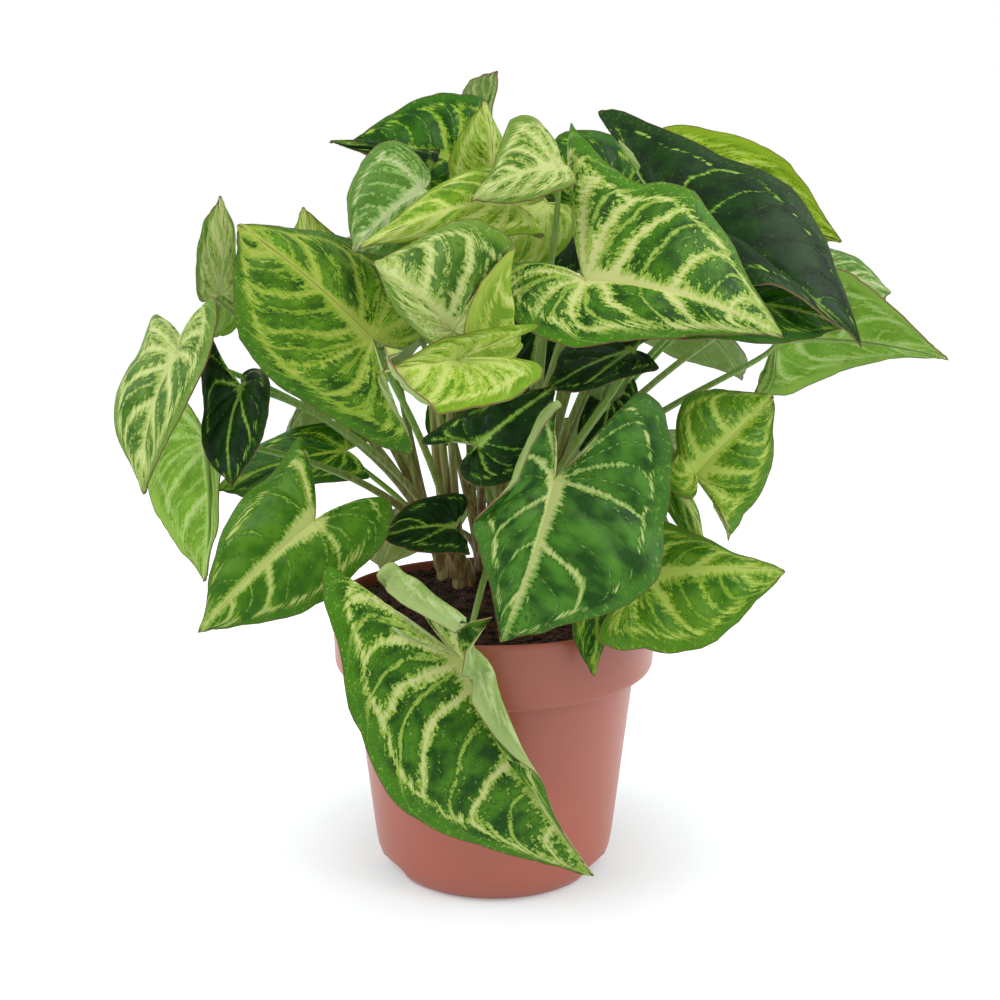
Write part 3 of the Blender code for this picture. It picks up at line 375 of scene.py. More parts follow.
# Patterns on the flattened blade, in repeats to a mm: flecks, clouds in the green, how the veins wander,
# pores of the skin, and spikes across the midrib (in x, y).
SPECKS, CLOUDS, DRIFTS, GRAINS = 0.6, 0.11, 0.045, 1.2
RIB_SPIKES = (0.22, 0.9, 1.0)
# Patterns that follow the side veins, in repeats to a mm along and across them, and with their drift.
FEATHERS = {"spike": (0.9, 0.22, 3.0), "streak": (0.16, 0.6, 3.0), "margin": (0.22, 0.75, 3.0),
            "scratch": (0.3, 2.4, 3.0)}


def box_centre(points):
    """Middle of the box round points."""
    low = Vector(min(p[k] for p in points) for k in range(3))
    high = Vector(max(p[k] for p in points) for k in range(3))
    return (low + high) / 2


def along(points, count):
    """count + 1 points evenly spaced in parameter on a smooth curve through points."""
    points = [Vector((*p, 0.0)) if len(p) == 2 else Vector(p) for p in points]
    closed = [points[0] * 2 - points[1], *points, points[-1] * 2 - points[-2]]
    spans = len(points) - 1
    found = []
    for k in range(count + 1):
        place = spans * k / count
        i = min(int(place), spans - 1)
        t = place - i
        a, b, c, d = closed[i:i + 4]
        found.append(0.5 * ((2 * b) + (c - a) * t + (2 * a - 5 * b + 4 * c - d) * t * t
                            + (3 * b - 3 * c + d - a) * t ** 3))
    return found


def smooth(t):
    """Eases from 0 to 1."""
    t = min(1.0, max(0.0, t))
    return t * t * (3 - 2 * t)


def between(place, places, values):
    """The value at a place, on straight lines between the given places."""
    k = 0
    while k < len(places) - 2 and place > places[k + 1]:
        k += 1
    share = (place - places[k]) / (places[k + 1] - places[k])
    return values[k] + (values[k + 1] - values[k]) * share


def side_shape(tip, points):
    """One half-blade as four directions: ahead, out, and what the lobe and the shoulder add to that plane."""
    wide, shoulder, lobe = points
    tip, wide, lobe = Vector(tip), Vector(wide), Vector(lobe)
    out = (wide / math.hypot(*WIDE_POINT) - tip * math.cos(WIDE_ANGLE)) / math.sin(WIDE_ANGLE)
    flat_lobe = tip * math.cos(LOBE_ANGLE) + out * math.sin(LOBE_ANGLE)
    pull = lobe / math.hypot(*LOBE_POINT) - flat_lobe
    push = Vector((0, 0, 0))
    if shoulder:
        flat_shoulder = tip * math.cos(UPPER_ANGLE) + out * math.sin(UPPER_ANGLE)
        push = Vector(shoulder) / math.hypot(*UPPER_POINT) - flat_shoulder
    return tip, out, pull, push


def direction(shape, angle):
    """Where a ray of the flat half-blade at this angle from the tip points, and how it is stretched."""
    ahead, out, pull, push = shape
    lobe = max(0.0, (angle - WIDE_ANGLE) / (LOBE_ANGLE - WIDE_ANGLE))
    shoulder = math.sin(math.pi * angle / WIDE_ANGLE) / math.sin(math.pi * UPPER_ANGLE / WIDE_ANGLE)
    if angle > WIDE_ANGLE:
        shoulder = 0.0
    return ahead * math.cos(angle) + out * math.sin(angle) + pull * lobe ** 1.7 + push * shoulder


def edge_table():
    """Distance from the joint to the edge of the flat half-blade, every 3 degrees from the tip."""
    table = {}
    for place in along(HALF_OUTLINE, 240):
        if place.length > 1e-6:
            step = round(math.degrees(math.atan2(place.x, place.y)) / 3)
            table[step] = max(table.get(step, 0.0), place.length)
    return [table.get(step, 0.7) for step in range(max(table) + 1)]


EDGE = edge_table()


def edge_reach(angle):
    """Distance from the joint to the edge of the flat half-blade along a ray."""
    place = min(math.degrees(angle) / 3, len(EDGE) - 1.001)
    low = int(place)
    return max(0.05, EDGE[low] + (EDGE[low + 1] - EDGE[low]) * (place - low))


def rib_foot(y):
    """Where on the midrib the side rib starts that ends at height y on the edge."""
    return max(0.0, (y - RIB_START) / (1 - RIB_START)) ** 1.25


def slimmed(place, share):
    """A point of the outline with its lobe narrowed towards the lobe's own middle line."""
    if place.y >= 0.0:
        return place
    keep = 1 + (share - 1) * smooth(-place.y / SLIM_FROM)
    return Vector((SLIM_MIDDLE + (place.x - SLIM_MIDDLE) * keep, place.y, 0.0))


def past_fold(fold, x, y):
    """How far a flat point is past a fold, its share of the line, the foot on it and the way across."""
    start, end = Vector(fold.start), Vector(fold.end)
    line = (end - start).normalized()
    across = Vector((-line.y, line.x))
    if across.dot(start) < 0:
        across = -across
    offset = Vector((x, y)) - start
    run = offset.dot(line)
    return offset.dot(across), run / (end - start).length, start + line * run, across


class Blade:
    """The curved surface of one leaf, from its joint, tip, widest points and lobes."""

    def __init__(self, leaf, joint):
        self.joint = Vector(joint)
        self.bow = leaf.bow
        self.roll = (leaf.roll[:2], leaf.roll[2:])
        self.folds = [Fold(*fold) for fold in leaf.folds]
        self.slim = leaf.slim
        self.sides = (side_shape(leaf.tip, leaf.left), side_shape(leaf.tip, leaf.right))
        self.length = Vector(leaf.tip).length
        ups = [self.side_normal(side, 0.9) for side in (0, 1)]
        self.up = (ups[0] + ups[1]).normalized()

    def side_normal(self, side, angle):
        """Which way is up on one side, along a ray."""
        ahead = direction(self.sides[side], angle)
        turned_on = direction(self.sides[side], angle + 0.01)
        normal = turned_on.cross(ahead) if side else ahead.cross(turned_on)
        return normal.normalized()

    def normal(self, side, angle):
        """Which way is up along a ray, blended so that the two sides agree at the midrib."""
        share = smooth(angle / 0.9)
        return (self.up.lerp(self.side_normal(side, max(angle, 0.02)), share)).normalized()

    def point(self, side, x, y):
        """A point of the surface: x and y on the flat half-blade."""
        for fold in self.folds:
            past, share, foot, across = past_fold(fold, x, y)
            if fold.side == side and past > 0.0 and share > 0.0:
                opening = smooth(share / FOLD_OPENS)
                over = self.folded(fold, opening, past, foot, across)
                return self.unfolded(side, x, y).lerp(over, min(1.0, 3 * opening))
        return self.unfolded(side, x, y)

    def bend_width(self, fold):
        """How wide the bend of a fold is on the flat half-blade."""
        scale = self.sides[fold.side][1].length
        return FOLD_RADIUS * math.radians(fold.turn) / scale

    def folded(self, fold, opening, past, foot, across):
        """A point past a fold: round a bend of fixed radius, then straight on."""
        before, after = (self.unfolded(fold.side, *(foot + across * step)) for step in (-0.01, 0.01))
        beside = Vector((-across.y, across.x))
        lower, upper = (self.unfolded(fold.side, *(foot + beside * step)) for step in (-0.01, 0.01))
        outward = after - before
        normal = outward.cross(upper - lower).normalized()
        if normal.dot(self.up) < 0:
            normal = -normal
        run = past * outward.length / 0.02
        outward = outward.normalized()
        turn = math.radians(fold.turn) * opening
        bent = min(turn, run / FOLD_RADIUS)
        rest = max(0.0, run - turn * FOLD_RADIUS)
        along = FOLD_RADIUS * math.sin(bent) + rest * math.cos(bent)
        lift = FOLD_RADIUS * (1 - math.cos(bent)) + rest * math.sin(bent)
        return self.unfolded(fold.side, *foot) + outward * along + normal * lift

    def unfolded(self, side, x, y):
        """A point of the surface before any fold: arched, and rolled over at its margin."""
        angle = math.atan2(x, y)
        reach = math.hypot(x, y)
        if reach < 1e-9:
            return self.joint.copy()
        if angle < WIDE_ANGLE:
            height = self.bow[0] + (self.bow[1] - self.bow[0]) * smooth(angle / WIDE_ANGLE)
        else:
            height = self.bow[1] + (self.bow[2] - self.bow[1]) * smooth((angle - WIDE_ANGLE) / 1.2)
        share = min(1.0, reach / edge_reach(angle))
        arch = height * 4 * share * (1 - share)
        ray, normal = direction(self.sides[side], angle), self.normal(side, angle)
        roll = self.rolled(side, angle)
        if roll == 0.0 or share <= ROLL_START:
            return self.joint + ray * reach + normal * arch
        edge = ray.length * edge_reach(angle)
        start = self.joint + ray.normalized() * (edge * ROLL_START) + normal * arch
        bend = roll / ((1 - ROLL_START) * edge)
        turned_by = bend * edge * (share - ROLL_START)
        outward = ray.normalized() * (math.sin(turned_by) / bend)
        return start + outward + normal * ((1 - math.cos(turned_by)) / bend)

    def rolled(self, side, angle):
        """How far the margin is rolled over on this ray, in radians."""
        blade, lobe = self.roll[side]
        at_blade = blade * smooth((angle - 0.15) / 0.7)
        return math.radians(at_blade + (lobe - at_blade) * smooth((angle - 1.5) / 0.5))

    def from_rib(self, side, x, y):
        """Distance over the surface to the midrib, or to the joint for a place in the lobe."""
        angle = math.atan2(x, y)
        reach = direction(self.sides[side], angle).length * math.hypot(x, y)
        return reach * (math.sin(angle) if angle < math.pi / 2 else 1.0)


def row_share(blade, side, foot, margin, step):
    """How far out along a rib a row lies: even steps, or close together round a fold."""
    for fold in blade.folds:
        inner, outer = (past_fold(fold, *at) for at in ((0.0, foot), margin[:2]))
        if fold.side == side and inner[0] < 0.0 < outer[0]:
            crossing = inner[0] / (inner[0] - outer[0])
            if inner[1] + (outer[1] - inner[1]) * crossing > 0.0:
                bend = blade.bend_width(fold) / (outer[0] - inner[0])
                stops = (0.0, crossing, min(crossing + bend, (1 + crossing) / 2), 1.0)
                part = min(int(step * 3), 2)
                return stops[part] + (stops[part + 1] - stops[part]) * (step * 3 - part)
    return step


def flat_places(blade, side, columns, rows, frill=0.0, seed=0.0):
    """(x, y) on the flat half-blade for each column, counted by the outline, and row, from the midrib,
    and the share of the way out of each. frill is how uneven the outline is, in blade lengths."""
    places, shares = [], []
    for i, margin in enumerate(along(HALF_OUTLINE, columns)):
        margin = slimmed(margin, blade.slim[side])
        if 0 < i < columns:
            way = Vector((seed, side * 7.3, i / columns * FRILLS))
            uneven = noise.noise(way) + 0.5 * noise.noise(way * 2.7)
            margin = margin + margin.normalized() * (uneven * frill * min(1.0, (columns - i) / 4))
        foot = rib_foot(margin.y) if 0 < i < columns else float(i == columns)
        steps = [row_share(blade, side, foot, margin, j / rows) for j in range(rows + 1)]
        out = steps if 0 < i < columns else [0.0] * (rows + 1)
        places.append([(margin.x * share, foot + (margin.y - foot) * share) for share in out])
        shares.append(steps)
    return places, shares


def joint_in_frame(name, leaf):
    """The leaf's joint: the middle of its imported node's box, less that of its bare shape."""
    bare = Blade(leaf, (0, 0, 0))
    packed = PACKED_FOLDED if leaf.folds else PACKED_ROLLED if any(leaf.roll) else PACKED_PLAIN
    points = [bare.point(side, *place) for side in (0, 1)
              for column in flat_places(bare, side, *packed)[0] for place in column]
    low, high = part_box("leaf_" + name)
    return (low + high) / 2 / MM - box_centre(points)


def to_linear(hex_colour):
    """A linear colour with alpha from sRGB hex."""
    parts = [int(hex_colour[k:k + 2], 16) / 255 for k in (1, 3, 5)]
    return (*[p / 12.92 if p <= 0.04045 else ((p + 0.055) / 1.055) ** 2.4 for p in parts], 1.0)


def add(tree, kind, *values, sockets=None, stops=None, **settings):
    """Adds a node and returns it.

    values fill its inputs in order and sockets fills them by name. A value is a number, a colour, a
    socket, or a node, which stands for its first output. stops is a colour ramp's list of (place, hex
    colour).
    """
    node = tree.nodes.new(kind)
    for key, value in settings.items():
        setattr(node, key, value)
    wanted = list(zip([socket for socket in node.inputs if socket.enabled], values))
    wanted += [(node.inputs[key], value) for key, value in (sockets or {}).items()]
    for socket, value in wanted:
        if isinstance(value, bpy.types.Node):
            value = next(s for s in value.outputs if s.enabled)
        if isinstance(value, bpy.types.NodeSocket):
            tree.links.new(value, socket)
        else:
            socket.default_value = value
    if stops:
        elements = node.color_ramp.elements
        while len(elements) < len(stops):
            elements.new(0.5)
        for element, (place, colour) in zip(elements, stops):
            element.position = place
            element.color = to_linear(colour)
    return node


def new_material(name):
    """An empty node material and its tree."""
    made = bpy.data.materials.new(name)
    made.use_nodes = True
    made.node_tree.nodes.clear()
    return made, made.node_tree


def close_material(tree, shader):
    """Ends a material in its output."""
    add(tree, "ShaderNodeOutputMaterial", shader)


def vein_count(tree, out, rib):
    """Adds a place's count of side veins. The veins swing towards the tip on their way out."""
    squared = add(tree, "ShaderNodeMath", out, out, operation="MULTIPLY")
    late = add(tree, "ShaderNodeMath", squared, squared, operation="MULTIPLY")
    late = add(tree, "ShaderNodeMath", late, VEIN_HOOK, VEIN_BEND, operation="MULTIPLY_ADD")
    swing = add(tree, "ShaderNodeMath", late, squared, operation="MULTIPLY")
    return add(tree, "ShaderNodeMath", rib, swing, operation="SUBTRACT")


def leaf_places(tree):
    """Adds what a leaf's patterns draw on: its marks, its noises and its count of side veins, by name."""
    here = SimpleNamespace(flat=add(tree, "ShaderNodeUVMap", uv_map="flat"))
    for mark in MARKS:
        setattr(here, mark, add(tree, "ShaderNodeAttribute", attribute_name=mark).outputs["Fac"])
    here.speck = add(tree, "ShaderNodeTexNoise", here.flat, SPECKS, 3.0, 0.72)
    here.cloud = add(tree, "ShaderNodeTexNoise", here.flat, CLOUDS, 2.0, 0.5)
    here.drift = add(tree, "ShaderNodeTexNoise", here.flat, DRIFTS, 1.0, 0.5)
    count = vein_count(tree, here.out, here.rib)
    count = add(tree, "ShaderNodeMath", here.drift, 0.6, count, operation="MULTIPLY_ADD")
    here.count = add(tree, "ShaderNodeMath", count, 0.3, operation="SUBTRACT")
    here.run = add(tree, "ShaderNodeMath", here.out, here.reach, operation="MULTIPLY")
    lane = add(tree, "ShaderNodeMath", here.count, LANE, operation="MULTIPLY")
    lanes = add(tree, "ShaderNodeCombineXYZ", here.run, lane, here.drift)
    here.feathers = {}
    for feather, scale in FEATHERS.items():
        place = add(tree, "ShaderNodeVectorMath", lanes, scale, operation="MULTIPLY")
        here.feathers[feather] = add(tree, "ShaderNodeTexNoise", place, 1.0, 3.0, 0.7)
    return here


def off_veins(tree, look, here):
    """Adds how far outside the nearest vein a place is, in mm, with the veins' feathered edges.

    There are side veins, the midrib, the vein inside the margin, and a faint one between side veins.
    """
    share = add(tree, "ShaderNodeMath", here.count, operation="FRACT")
    share = add(tree, "ShaderNodeMath", share, 0.5, operation="SUBTRACT")
    share = add(tree, "ShaderNodeMath", share, operation="ABSOLUTE")

    # each side vein has a chance of its own to be faint
    half = add(tree, "ShaderNodeSeparateXYZ", here.flat).outputs["X"]
    half = add(tree, "ShaderNodeMath", half, 2 / LEAF_SHIFT, operation="MULTIPLY")
    half = add(tree, "ShaderNodeMath", half, operation="FLOOR")
    whole = add(tree, "ShaderNodeMath", here.count, operation="FLOOR")
    chance = add(tree, "ShaderNodeCombineXYZ", whole, half)
    chance = add(tree, "ShaderNodeTexWhiteNoise", chance, noise_dimensions="2D")
    faint = add(tree, "ShaderNodeMapRange", chance, 0.15, 0.75, look.uneven * 3.0, 0.0)

    # spikes stand across the veins
    place = add(tree, "ShaderNodeVectorMath", here.flat, RIB_SPIKES, operation="MULTIPLY")
    along_rib = add(tree, "ShaderNodeTexNoise", place, 1.0, 3.0, 0.75)
    spike, margin_spike, rib_spike = (
        add(tree, "ShaderNodeMapRange", pattern, *SPIKE_RISES, 0.0, 1.0)
        for pattern in (here.feathers["spike"], here.feathers["margin"], along_rib))
    spike_length = -SPIKE_LEAST - look.vein * SPIKE_GAIN

    slim = add(tree, "ShaderNodeMath", here.out, -look.vein * SIDE_TAPER, look.vein,
               operation="MULTIPLY_ADD")
    past = add(tree, "ShaderNodeMapRange", here.out, MARGIN_VEIN, MARGIN_VEIN + 0.08, 0.0, 4.0)
    off = add(tree, "ShaderNodeMath", share, here.spread, operation="MULTIPLY")
    off = add(tree, "ShaderNodeMath", off, slim, operation="SUBTRACT")
    off = add(tree, "ShaderNodeMath", spike, spike_length, off, operation="MULTIPLY_ADD")
    off = add(tree, "ShaderNodeMath", off, faint, operation="ADD")
    off = add(tree, "ShaderNodeMath", off, past, operation="ADD")

    slim = add(tree, "ShaderNodeMath", here.ahead, -look.midrib * MIDRIB_TAPER, look.midrib,
               operation="MULTIPLY_ADD")
    heart = add(tree, "ShaderNodeMapRange", here.ahead, 0.0, HEART_END, look.midrib * 0.9, 0.0)
    slim = add(tree, "ShaderNodeMath", slim, heart, operation="ADD")
    off_mid = add(tree, "ShaderNodeMath", here.midrib, slim, operation="SUBTRACT")
    length = add(tree, "ShaderNodeMath", slim, -1.0, -0.5, operation="MULTIPLY_ADD")
    off_mid = add(tree, "ShaderNodeMath", rib_spike, length, off_mid, operation="MULTIPLY_ADD")

    off_margin = add(tree, "ShaderNodeMath", here.drift, 0.16, here.out, operation="MULTIPLY_ADD")
    off_margin = add(tree, "ShaderNodeMath", off_margin, MARGIN_VEIN + 0.08, operation="SUBTRACT")
    off_margin = add(tree, "ShaderNodeMath", off_margin, here.reach, operation="MULTIPLY")
    off_margin = add(tree, "ShaderNodeMath", off_margin, operation="ABSOLUTE")
    off_margin = add(tree, "ShaderNodeMath", margin_spike, spike_length, off_margin, operation="MULTIPLY_ADD")
    for pattern, gap in ((here.feathers["margin"], (0.40, 0.54, look.gaps * 3.0, 0.0)),
                         (here.cloud, (0.5, 0.6, 0.0, look.gaps * 3.0))):
        gap = add(tree, "ShaderNodeMapRange", pattern, *gap)
        off_margin = add(tree, "ShaderNodeMath", off_margin, gap, operation="ADD")

    between_veins = add(tree, "ShaderNodeMath", 0.5, share, operation="SUBTRACT")
    gap = add(tree, "ShaderNodeMapRange", here.speck, 0.42, 0.54, 2.0, look.uneven * 0.8 - 0.5)
    off_second = add(tree, "ShaderNodeMath", between_veins, here.spread, gap, operation="MULTIPLY_ADD")
    for other, blend in ((off_mid, 1.0), (off_margin, 0.6), (off_second, 0.3)):
        off = add(tree, "ShaderNodeMath", off, other, blend, operation="SMOOTH_MIN")
    return off


def leaf_tissue(tree, look, here, off, below):
    """Adds the leaf's colour: cream on a vein, through lime and green, to dark in the bays."""
    cream, lime, green, dark = look.under if below else look.colours

    # flecks break the step from vein to bay, and more so away from the veins' cores
    streak, broken = (add(tree, "ShaderNodeMath", pattern, 0.5, operation="SUBTRACT")
                      for pattern in (here.feathers["streak"], here.speck))
    flecks = add(tree, "ShaderNodeMath", broken, look.speckle * 5.0, operation="MULTIPLY")
    flecks = add(tree, "ShaderNodeMath", streak, look.streak * 5.0, flecks, operation="MULTIPLY_ADD")
    loose = add(tree, "ShaderNodeMapRange", off, -0.4, 1.4, 0.15, 1.0)
    near = add(tree, "ShaderNodeMath", off, look.halo * 1.5, operation="MINIMUM")
    edge = add(tree, "ShaderNodeMath", flecks, loose, near, operation="MULTIPLY_ADD")
    level = add(tree, "ShaderNodeMapRange", edge, -0.5 - look.vein, look.halo)
    tissue = add(tree, "ShaderNodeValToRGB", level, stops=[
        (0.0, cream), (0.28, cream), (0.46, lime), (0.68, lime), (0.80, green), (1.0, dark)])
    far = add(tree, "ShaderNodeMapRange", edge, look.halo, look.halo * 1.2)
    depth = add(tree, "ShaderNodeMapRange", here.cloud, 0.40, 0.62)
    bay = add(tree, "ShaderNodeMix", depth, to_linear(green), to_linear(dark), data_type="RGBA")

    # hair-fine scratches beside the veins, and the band outside the marginal vein with its lime flecks
    fine = add(tree, "ShaderNodeMapRange", here.feathers["scratch"], 0.64, 0.70, 0.0, 0.35)
    band = add(tree, "ShaderNodeMapRange", here.out, 0.84, 0.92, 0.0, 0.75)
    fleck = add(tree, "ShaderNodeMapRange", here.speck, 0.58, 0.64)
    margin = to_linear(lime if below else look.margin)
    flecked = add(tree, "ShaderNodeMix", fleck, margin, to_linear(lime), data_type="RGBA")

    # a fine line down the midrib, and the dry edge
    line = add(tree, "ShaderNodeMapRange", here.midrib, 0.1, 0.35, 0.5 if below else 0.15, 0.0)
    inward = add(tree, "ShaderNodeMath", here.reach, here.run, operation="SUBTRACT")
    dry = add(tree, "ShaderNodeMapRange", inward, 0.15, 0.45, 0.8, 0.0)
    for cover, colour in ((far, bay), (fine, to_linear(lime)), (band, flecked),
                          (line, to_linear("#8f6a50" if below else "#b0a860")), (dry, to_linear("#7c4a36"))):
        tissue = add(tree, "ShaderNodeMix", cover, tissue, colour, data_type="RGBA")
    return tissue


def blade_surface(name, look, below):
    """Living arrowhead-vine leaf, grown: waxy skin over variegated tissue.

    Gives the eye a satin sheen, pale feathered veins that curve into a broken vein inside the margin,
    hard-edged flecks in the green bays between them, a dry brown edge, and light through the blade.
    """
    made, tree = new_material(name)
    here = leaf_places(tree)
    off = off_veins(tree, look, here)
    tissue = leaf_tissue(tree, look, here, off, below)
    sunk = add(tree, "ShaderNodeMapRange", off, -look.vein, 2.5, 1.2 if below else -1.2, 0.0)
    grain = add(tree, "ShaderNodeTexNoise", here.flat, GRAINS, 3.0, 0.6)
    height = add(tree, "ShaderNodeMath", grain, 0.5, sunk, operation="MULTIPLY_ADD")
    relief = add(tree, "ShaderNodeBump", sockets={"Height": height, "Distance": 0.4 * MM, "Strength": 0.6})
    skin = add(tree, "ShaderNodeBsdfPrincipled", sockets={
        "Base Color": tissue, "Roughness": 0.6 if below else 0.33, "Specular IOR Level": 0.17,
        "Normal": relief})
    glow = add(tree, "ShaderNodeBsdfTranslucent", tissue)
    close_material(tree, add(tree, "ShaderNodeMixShader", 0.2, skin, glow))
    return made


def blade_edge():
    """Cut edge of the leaf skin, grown: a hair of dry red-brown tissue that outlines each blade."""
    made, tree = new_material("leaf_margin_dried_skin")
    place = add(tree, "ShaderNodeTexCoord").outputs["Object"]
    patch = add(tree, "ShaderNodeTexNoise", place, DRY_PATCHES, 2.0, 0.5)
    colour = add(tree, "ShaderNodeValToRGB", patch, stops=[(0.35, "#7b8a44"), (0.6, "#8a5a40")])
    close_material(tree, add(tree, "ShaderNodeBsdfPrincipled", sockets={
        "Base Color": colour, "Roughness": 0.6}))
    return made


def petiole_skin():
    """Living leaf stalk, grown: smooth, faintly striped, green, and red-brown and papery at its sheath."""
    made, tree = new_material("petiole_smooth_skin")
    run = add(tree, "ShaderNodeAttribute", attribute_name="run").outputs["Fac"]
    tint = add(tree, "ShaderNodeAttribute", attribute_name="tint").outputs["Fac"]
    place = add(tree, "ShaderNodeTexCoord").outputs["Object"]
    stripe_place = add(tree, "ShaderNodeVectorMath", place, STALK_STRIPES, operation="MULTIPLY")
    stripe = add(tree, "ShaderNodeTexNoise", stripe_place, 1.0, 2.0, 0.5)
    green = add(tree, "ShaderNodeValToRGB", tint, stops=[
        (0.0, "#86b03a"), (0.35, "#7ba036"), (0.7, "#8ba04a"), (1.0, "#62a81c")])
    sheath = add(tree, "ShaderNodeValToRGB", stripe, stops=[(0.3, "#7a5038"), (0.7, "#ac9058")])
    blend = add(tree, "ShaderNodeMapRange", run, 0.10, 0.50)
    colour = add(tree, "ShaderNodeMix", blend, sheath, green, data_type="RGBA")
    pale = add(tree, "ShaderNodeMapRange", stripe, 0.45, 0.65, 0.0, 0.35)
    colour = add(tree, "ShaderNodeMix", pale, colour, to_linear("#b9c98c"), data_type="RGBA")
    relief = add(tree, "ShaderNodeBump", sockets={"Height": stripe, "Distance": 0.15 * MM, "Strength": 0.5})
    close_material(tree, add(tree, "ShaderNodeBsdfPrincipled", sockets={
        "Base Color": colour, "Roughness": 0.42, "IOR": 1.45, "Subsurface Weight": 0.1,
        "Subsurface Radius": (0.002, 0.003, 0.001), "Normal": relief}))
    return made


def pot_polypropylene(colour):
    """Polypropylene, injection moulded in terracotta: satin, with soft flow clouds and a fine grain."""
    made, tree = new_material("polypropylene_moulded")
    place = add(tree, "ShaderNodeTexCoord").outputs["Object"]
    cloud = add(tree, "ShaderNodeTexNoise", place, FLOW_CLOUDS, 3.0, 0.5)
    shade = add(tree, "ShaderNodeMapRange", cloud, 0.3, 0.7, 0.94, 1.06)
    tone = add(tree, "ShaderNodeVectorMath", tuple(colour), operation="SCALE", sockets={"Scale": shade})
    grain = add(tree, "ShaderNodeTexNoise", place, 1.0 / (0.6 * MM), 2.0, 0.5)
    rough = add(tree, "ShaderNodeMapRange", cloud, 0.3, 0.7, 0.32, 0.40)
    relief = add(tree, "ShaderNodeBump", sockets={"Height": grain, "Distance": 0.03 * MM, "Strength": 0.5})
    close_material(tree, add(tree, "ShaderNodeBsdfPrincipled", sockets={
        "Base Color": tone, "Roughness": rough, "IOR": 1.49, "Normal": relief}))
    return made


def peat(name, deep, light):
    """Peat and bark compost, sieved: matt, nearly black, with red-brown bits."""
    made, tree = new_material(name)
    place = add(tree, "ShaderNodeTexCoord").outputs["Object"]
    bit = add(tree, "ShaderNodeTexNoise", place, 1.0 / (2.5 * MM), 4.0, 0.6)
    colour = add(tree, "ShaderNodeValToRGB", bit, stops=[(0.38, deep), (0.68, light)])
    grain = add(tree, "ShaderNodeTexNoise", place, 1.0 / (0.8 * MM), 4.0, 0.7)
    relief = add(tree, "ShaderNodeBump", sockets={"Height": grain, "Distance": 0.5 * MM, "Strength": 0.8})
    close_material(tree, add(tree, "ShaderNodeBsdfPrincipled", sockets={
        "Base Color": colour, "Roughness": 0.95, "Normal": relief}))
    return made


def coir():
    """Coir, retted and shredded: dull red-brown to straw-coloured fibres."""
    made, tree = new_material("coir_shredded_fibre")
    place = add(tree, "ShaderNodeTexCoord").outputs["Object"]
    strand = add(tree, "ShaderNodeTexNoise", place, FIBRE_SHADES, 2.0, 0.5)
    colour = add(tree, "ShaderNodeValToRGB", strand, stops=[
        (0.35, "#4a281a"), (0.55, "#7c4830"), (0.7, "#9c6a48")])
    close_material(tree, add(tree, "ShaderNodeBsdfPrincipled", sockets={
        "Base Color": colour, "Roughness": 0.85}))
    return made


def new_tree(name, inputs):
    """A geometry tree with a geometry input and output and these named (kind, default) inputs."""
    tree = bpy.data.node_groups.new(name, "GeometryNodeTree")
    tree.interface.new_socket("Geometry", in_out="INPUT", socket_type="NodeSocketGeometry")
    for label, (kind, default) in inputs.items():
        socket = tree.interface.new_socket(label, in_out="INPUT", socket_type="NodeSocket" + kind)
        socket.default_value = default
    tree.interface.new_socket("Geometry", in_out="OUTPUT", socket_type="NodeSocketGeometry")
    return tree, add(tree, "NodeGroupInput")


def close_tree(tree, geometry, material):
    """Ends a tree in Realize Instances and Set Material."""
    real = add(tree, "GeometryNodeRealizeInstances", geometry)
    add(tree, "NodeGroupOutput", add(tree, "GeometryNodeSetMaterial", real, sockets={"Material": material}))


def use_tree(thing, tree, values):
    """Puts the tree on a piece, with its inputs set by their identifiers."""
    step = thing.modifiers.new(tree.name, "NODES")
    step.node_group = tree
    for item in tree.interface.items_tree:
        if item.in_out == "INPUT" and item.name in values:
            step[item.identifier] = values[item.name]


def apply_modifiers(thing):
    """Replaces a piece's mesh with the one that its modifiers make."""
    graph = bpy.context.evaluated_depsgraph_get()
    made = bpy.data.meshes.new_from_object(thing.evaluated_get(graph))
    thing.modifiers.clear()
    old = thing.data
    thing.data = made
    bpy.data.meshes.remove(old)
    made.name = thing.name


def new_piece(name, verts, edges, faces):
    """A new object in the scene with a mesh of these parts, in metres."""
    mesh = bpy.data.meshes.new(name)
    mesh.from_pydata([tuple(v) for v in verts], edges, faces)
    thing = bpy.data.objects.new(name, mesh)
    bpy.context.scene.collection.objects.link(thing)
    return thing


def finish_piece(thing, nodes, sharp_degrees=40.0):
    """Shades a finished piece and ties it to the frame."""
    thing.data.shade_smooth()
    thing.data.set_sharp_from_angle(angle=math.radians(sharp_degrees))
    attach(thing, BODY)
    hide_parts(*nodes)


def blade_marks(blade, side, columns, rows, places, shares, points):
    """For each column and row: the MARKS, and x and y in mm on the flattened blade."""
    counts = [between(12.0 * i / columns, RIB_PLACES, RIB_COUNTS) for i in range(columns + 1)]
    marks = []
    for i in range(columns + 1):
        before, after = max(0, i - 1), min(columns, i + 1)
        reach = sum((points[i][j + 1] - points[i][j]).length for j in range(rows))
        column = []
        for j in range(rows + 1):
            x, y = places[i][j]
            ray = (points[i][min(rows, j + 1)] - points[i][max(0, j - 1)]).normalized()
            step = points[after][j] - points[before][j]
            spread = step.cross(ray).length / (counts[after] - counts[before])
            flat = ((x if side else -x) * blade.length, y * blade.length)
            column.append((counts[i], shares[i][j], spread, reach, blade.from_rib(side, x, y),
                           max(0.0, y), *flat))
        marks.append(column)
    return marks


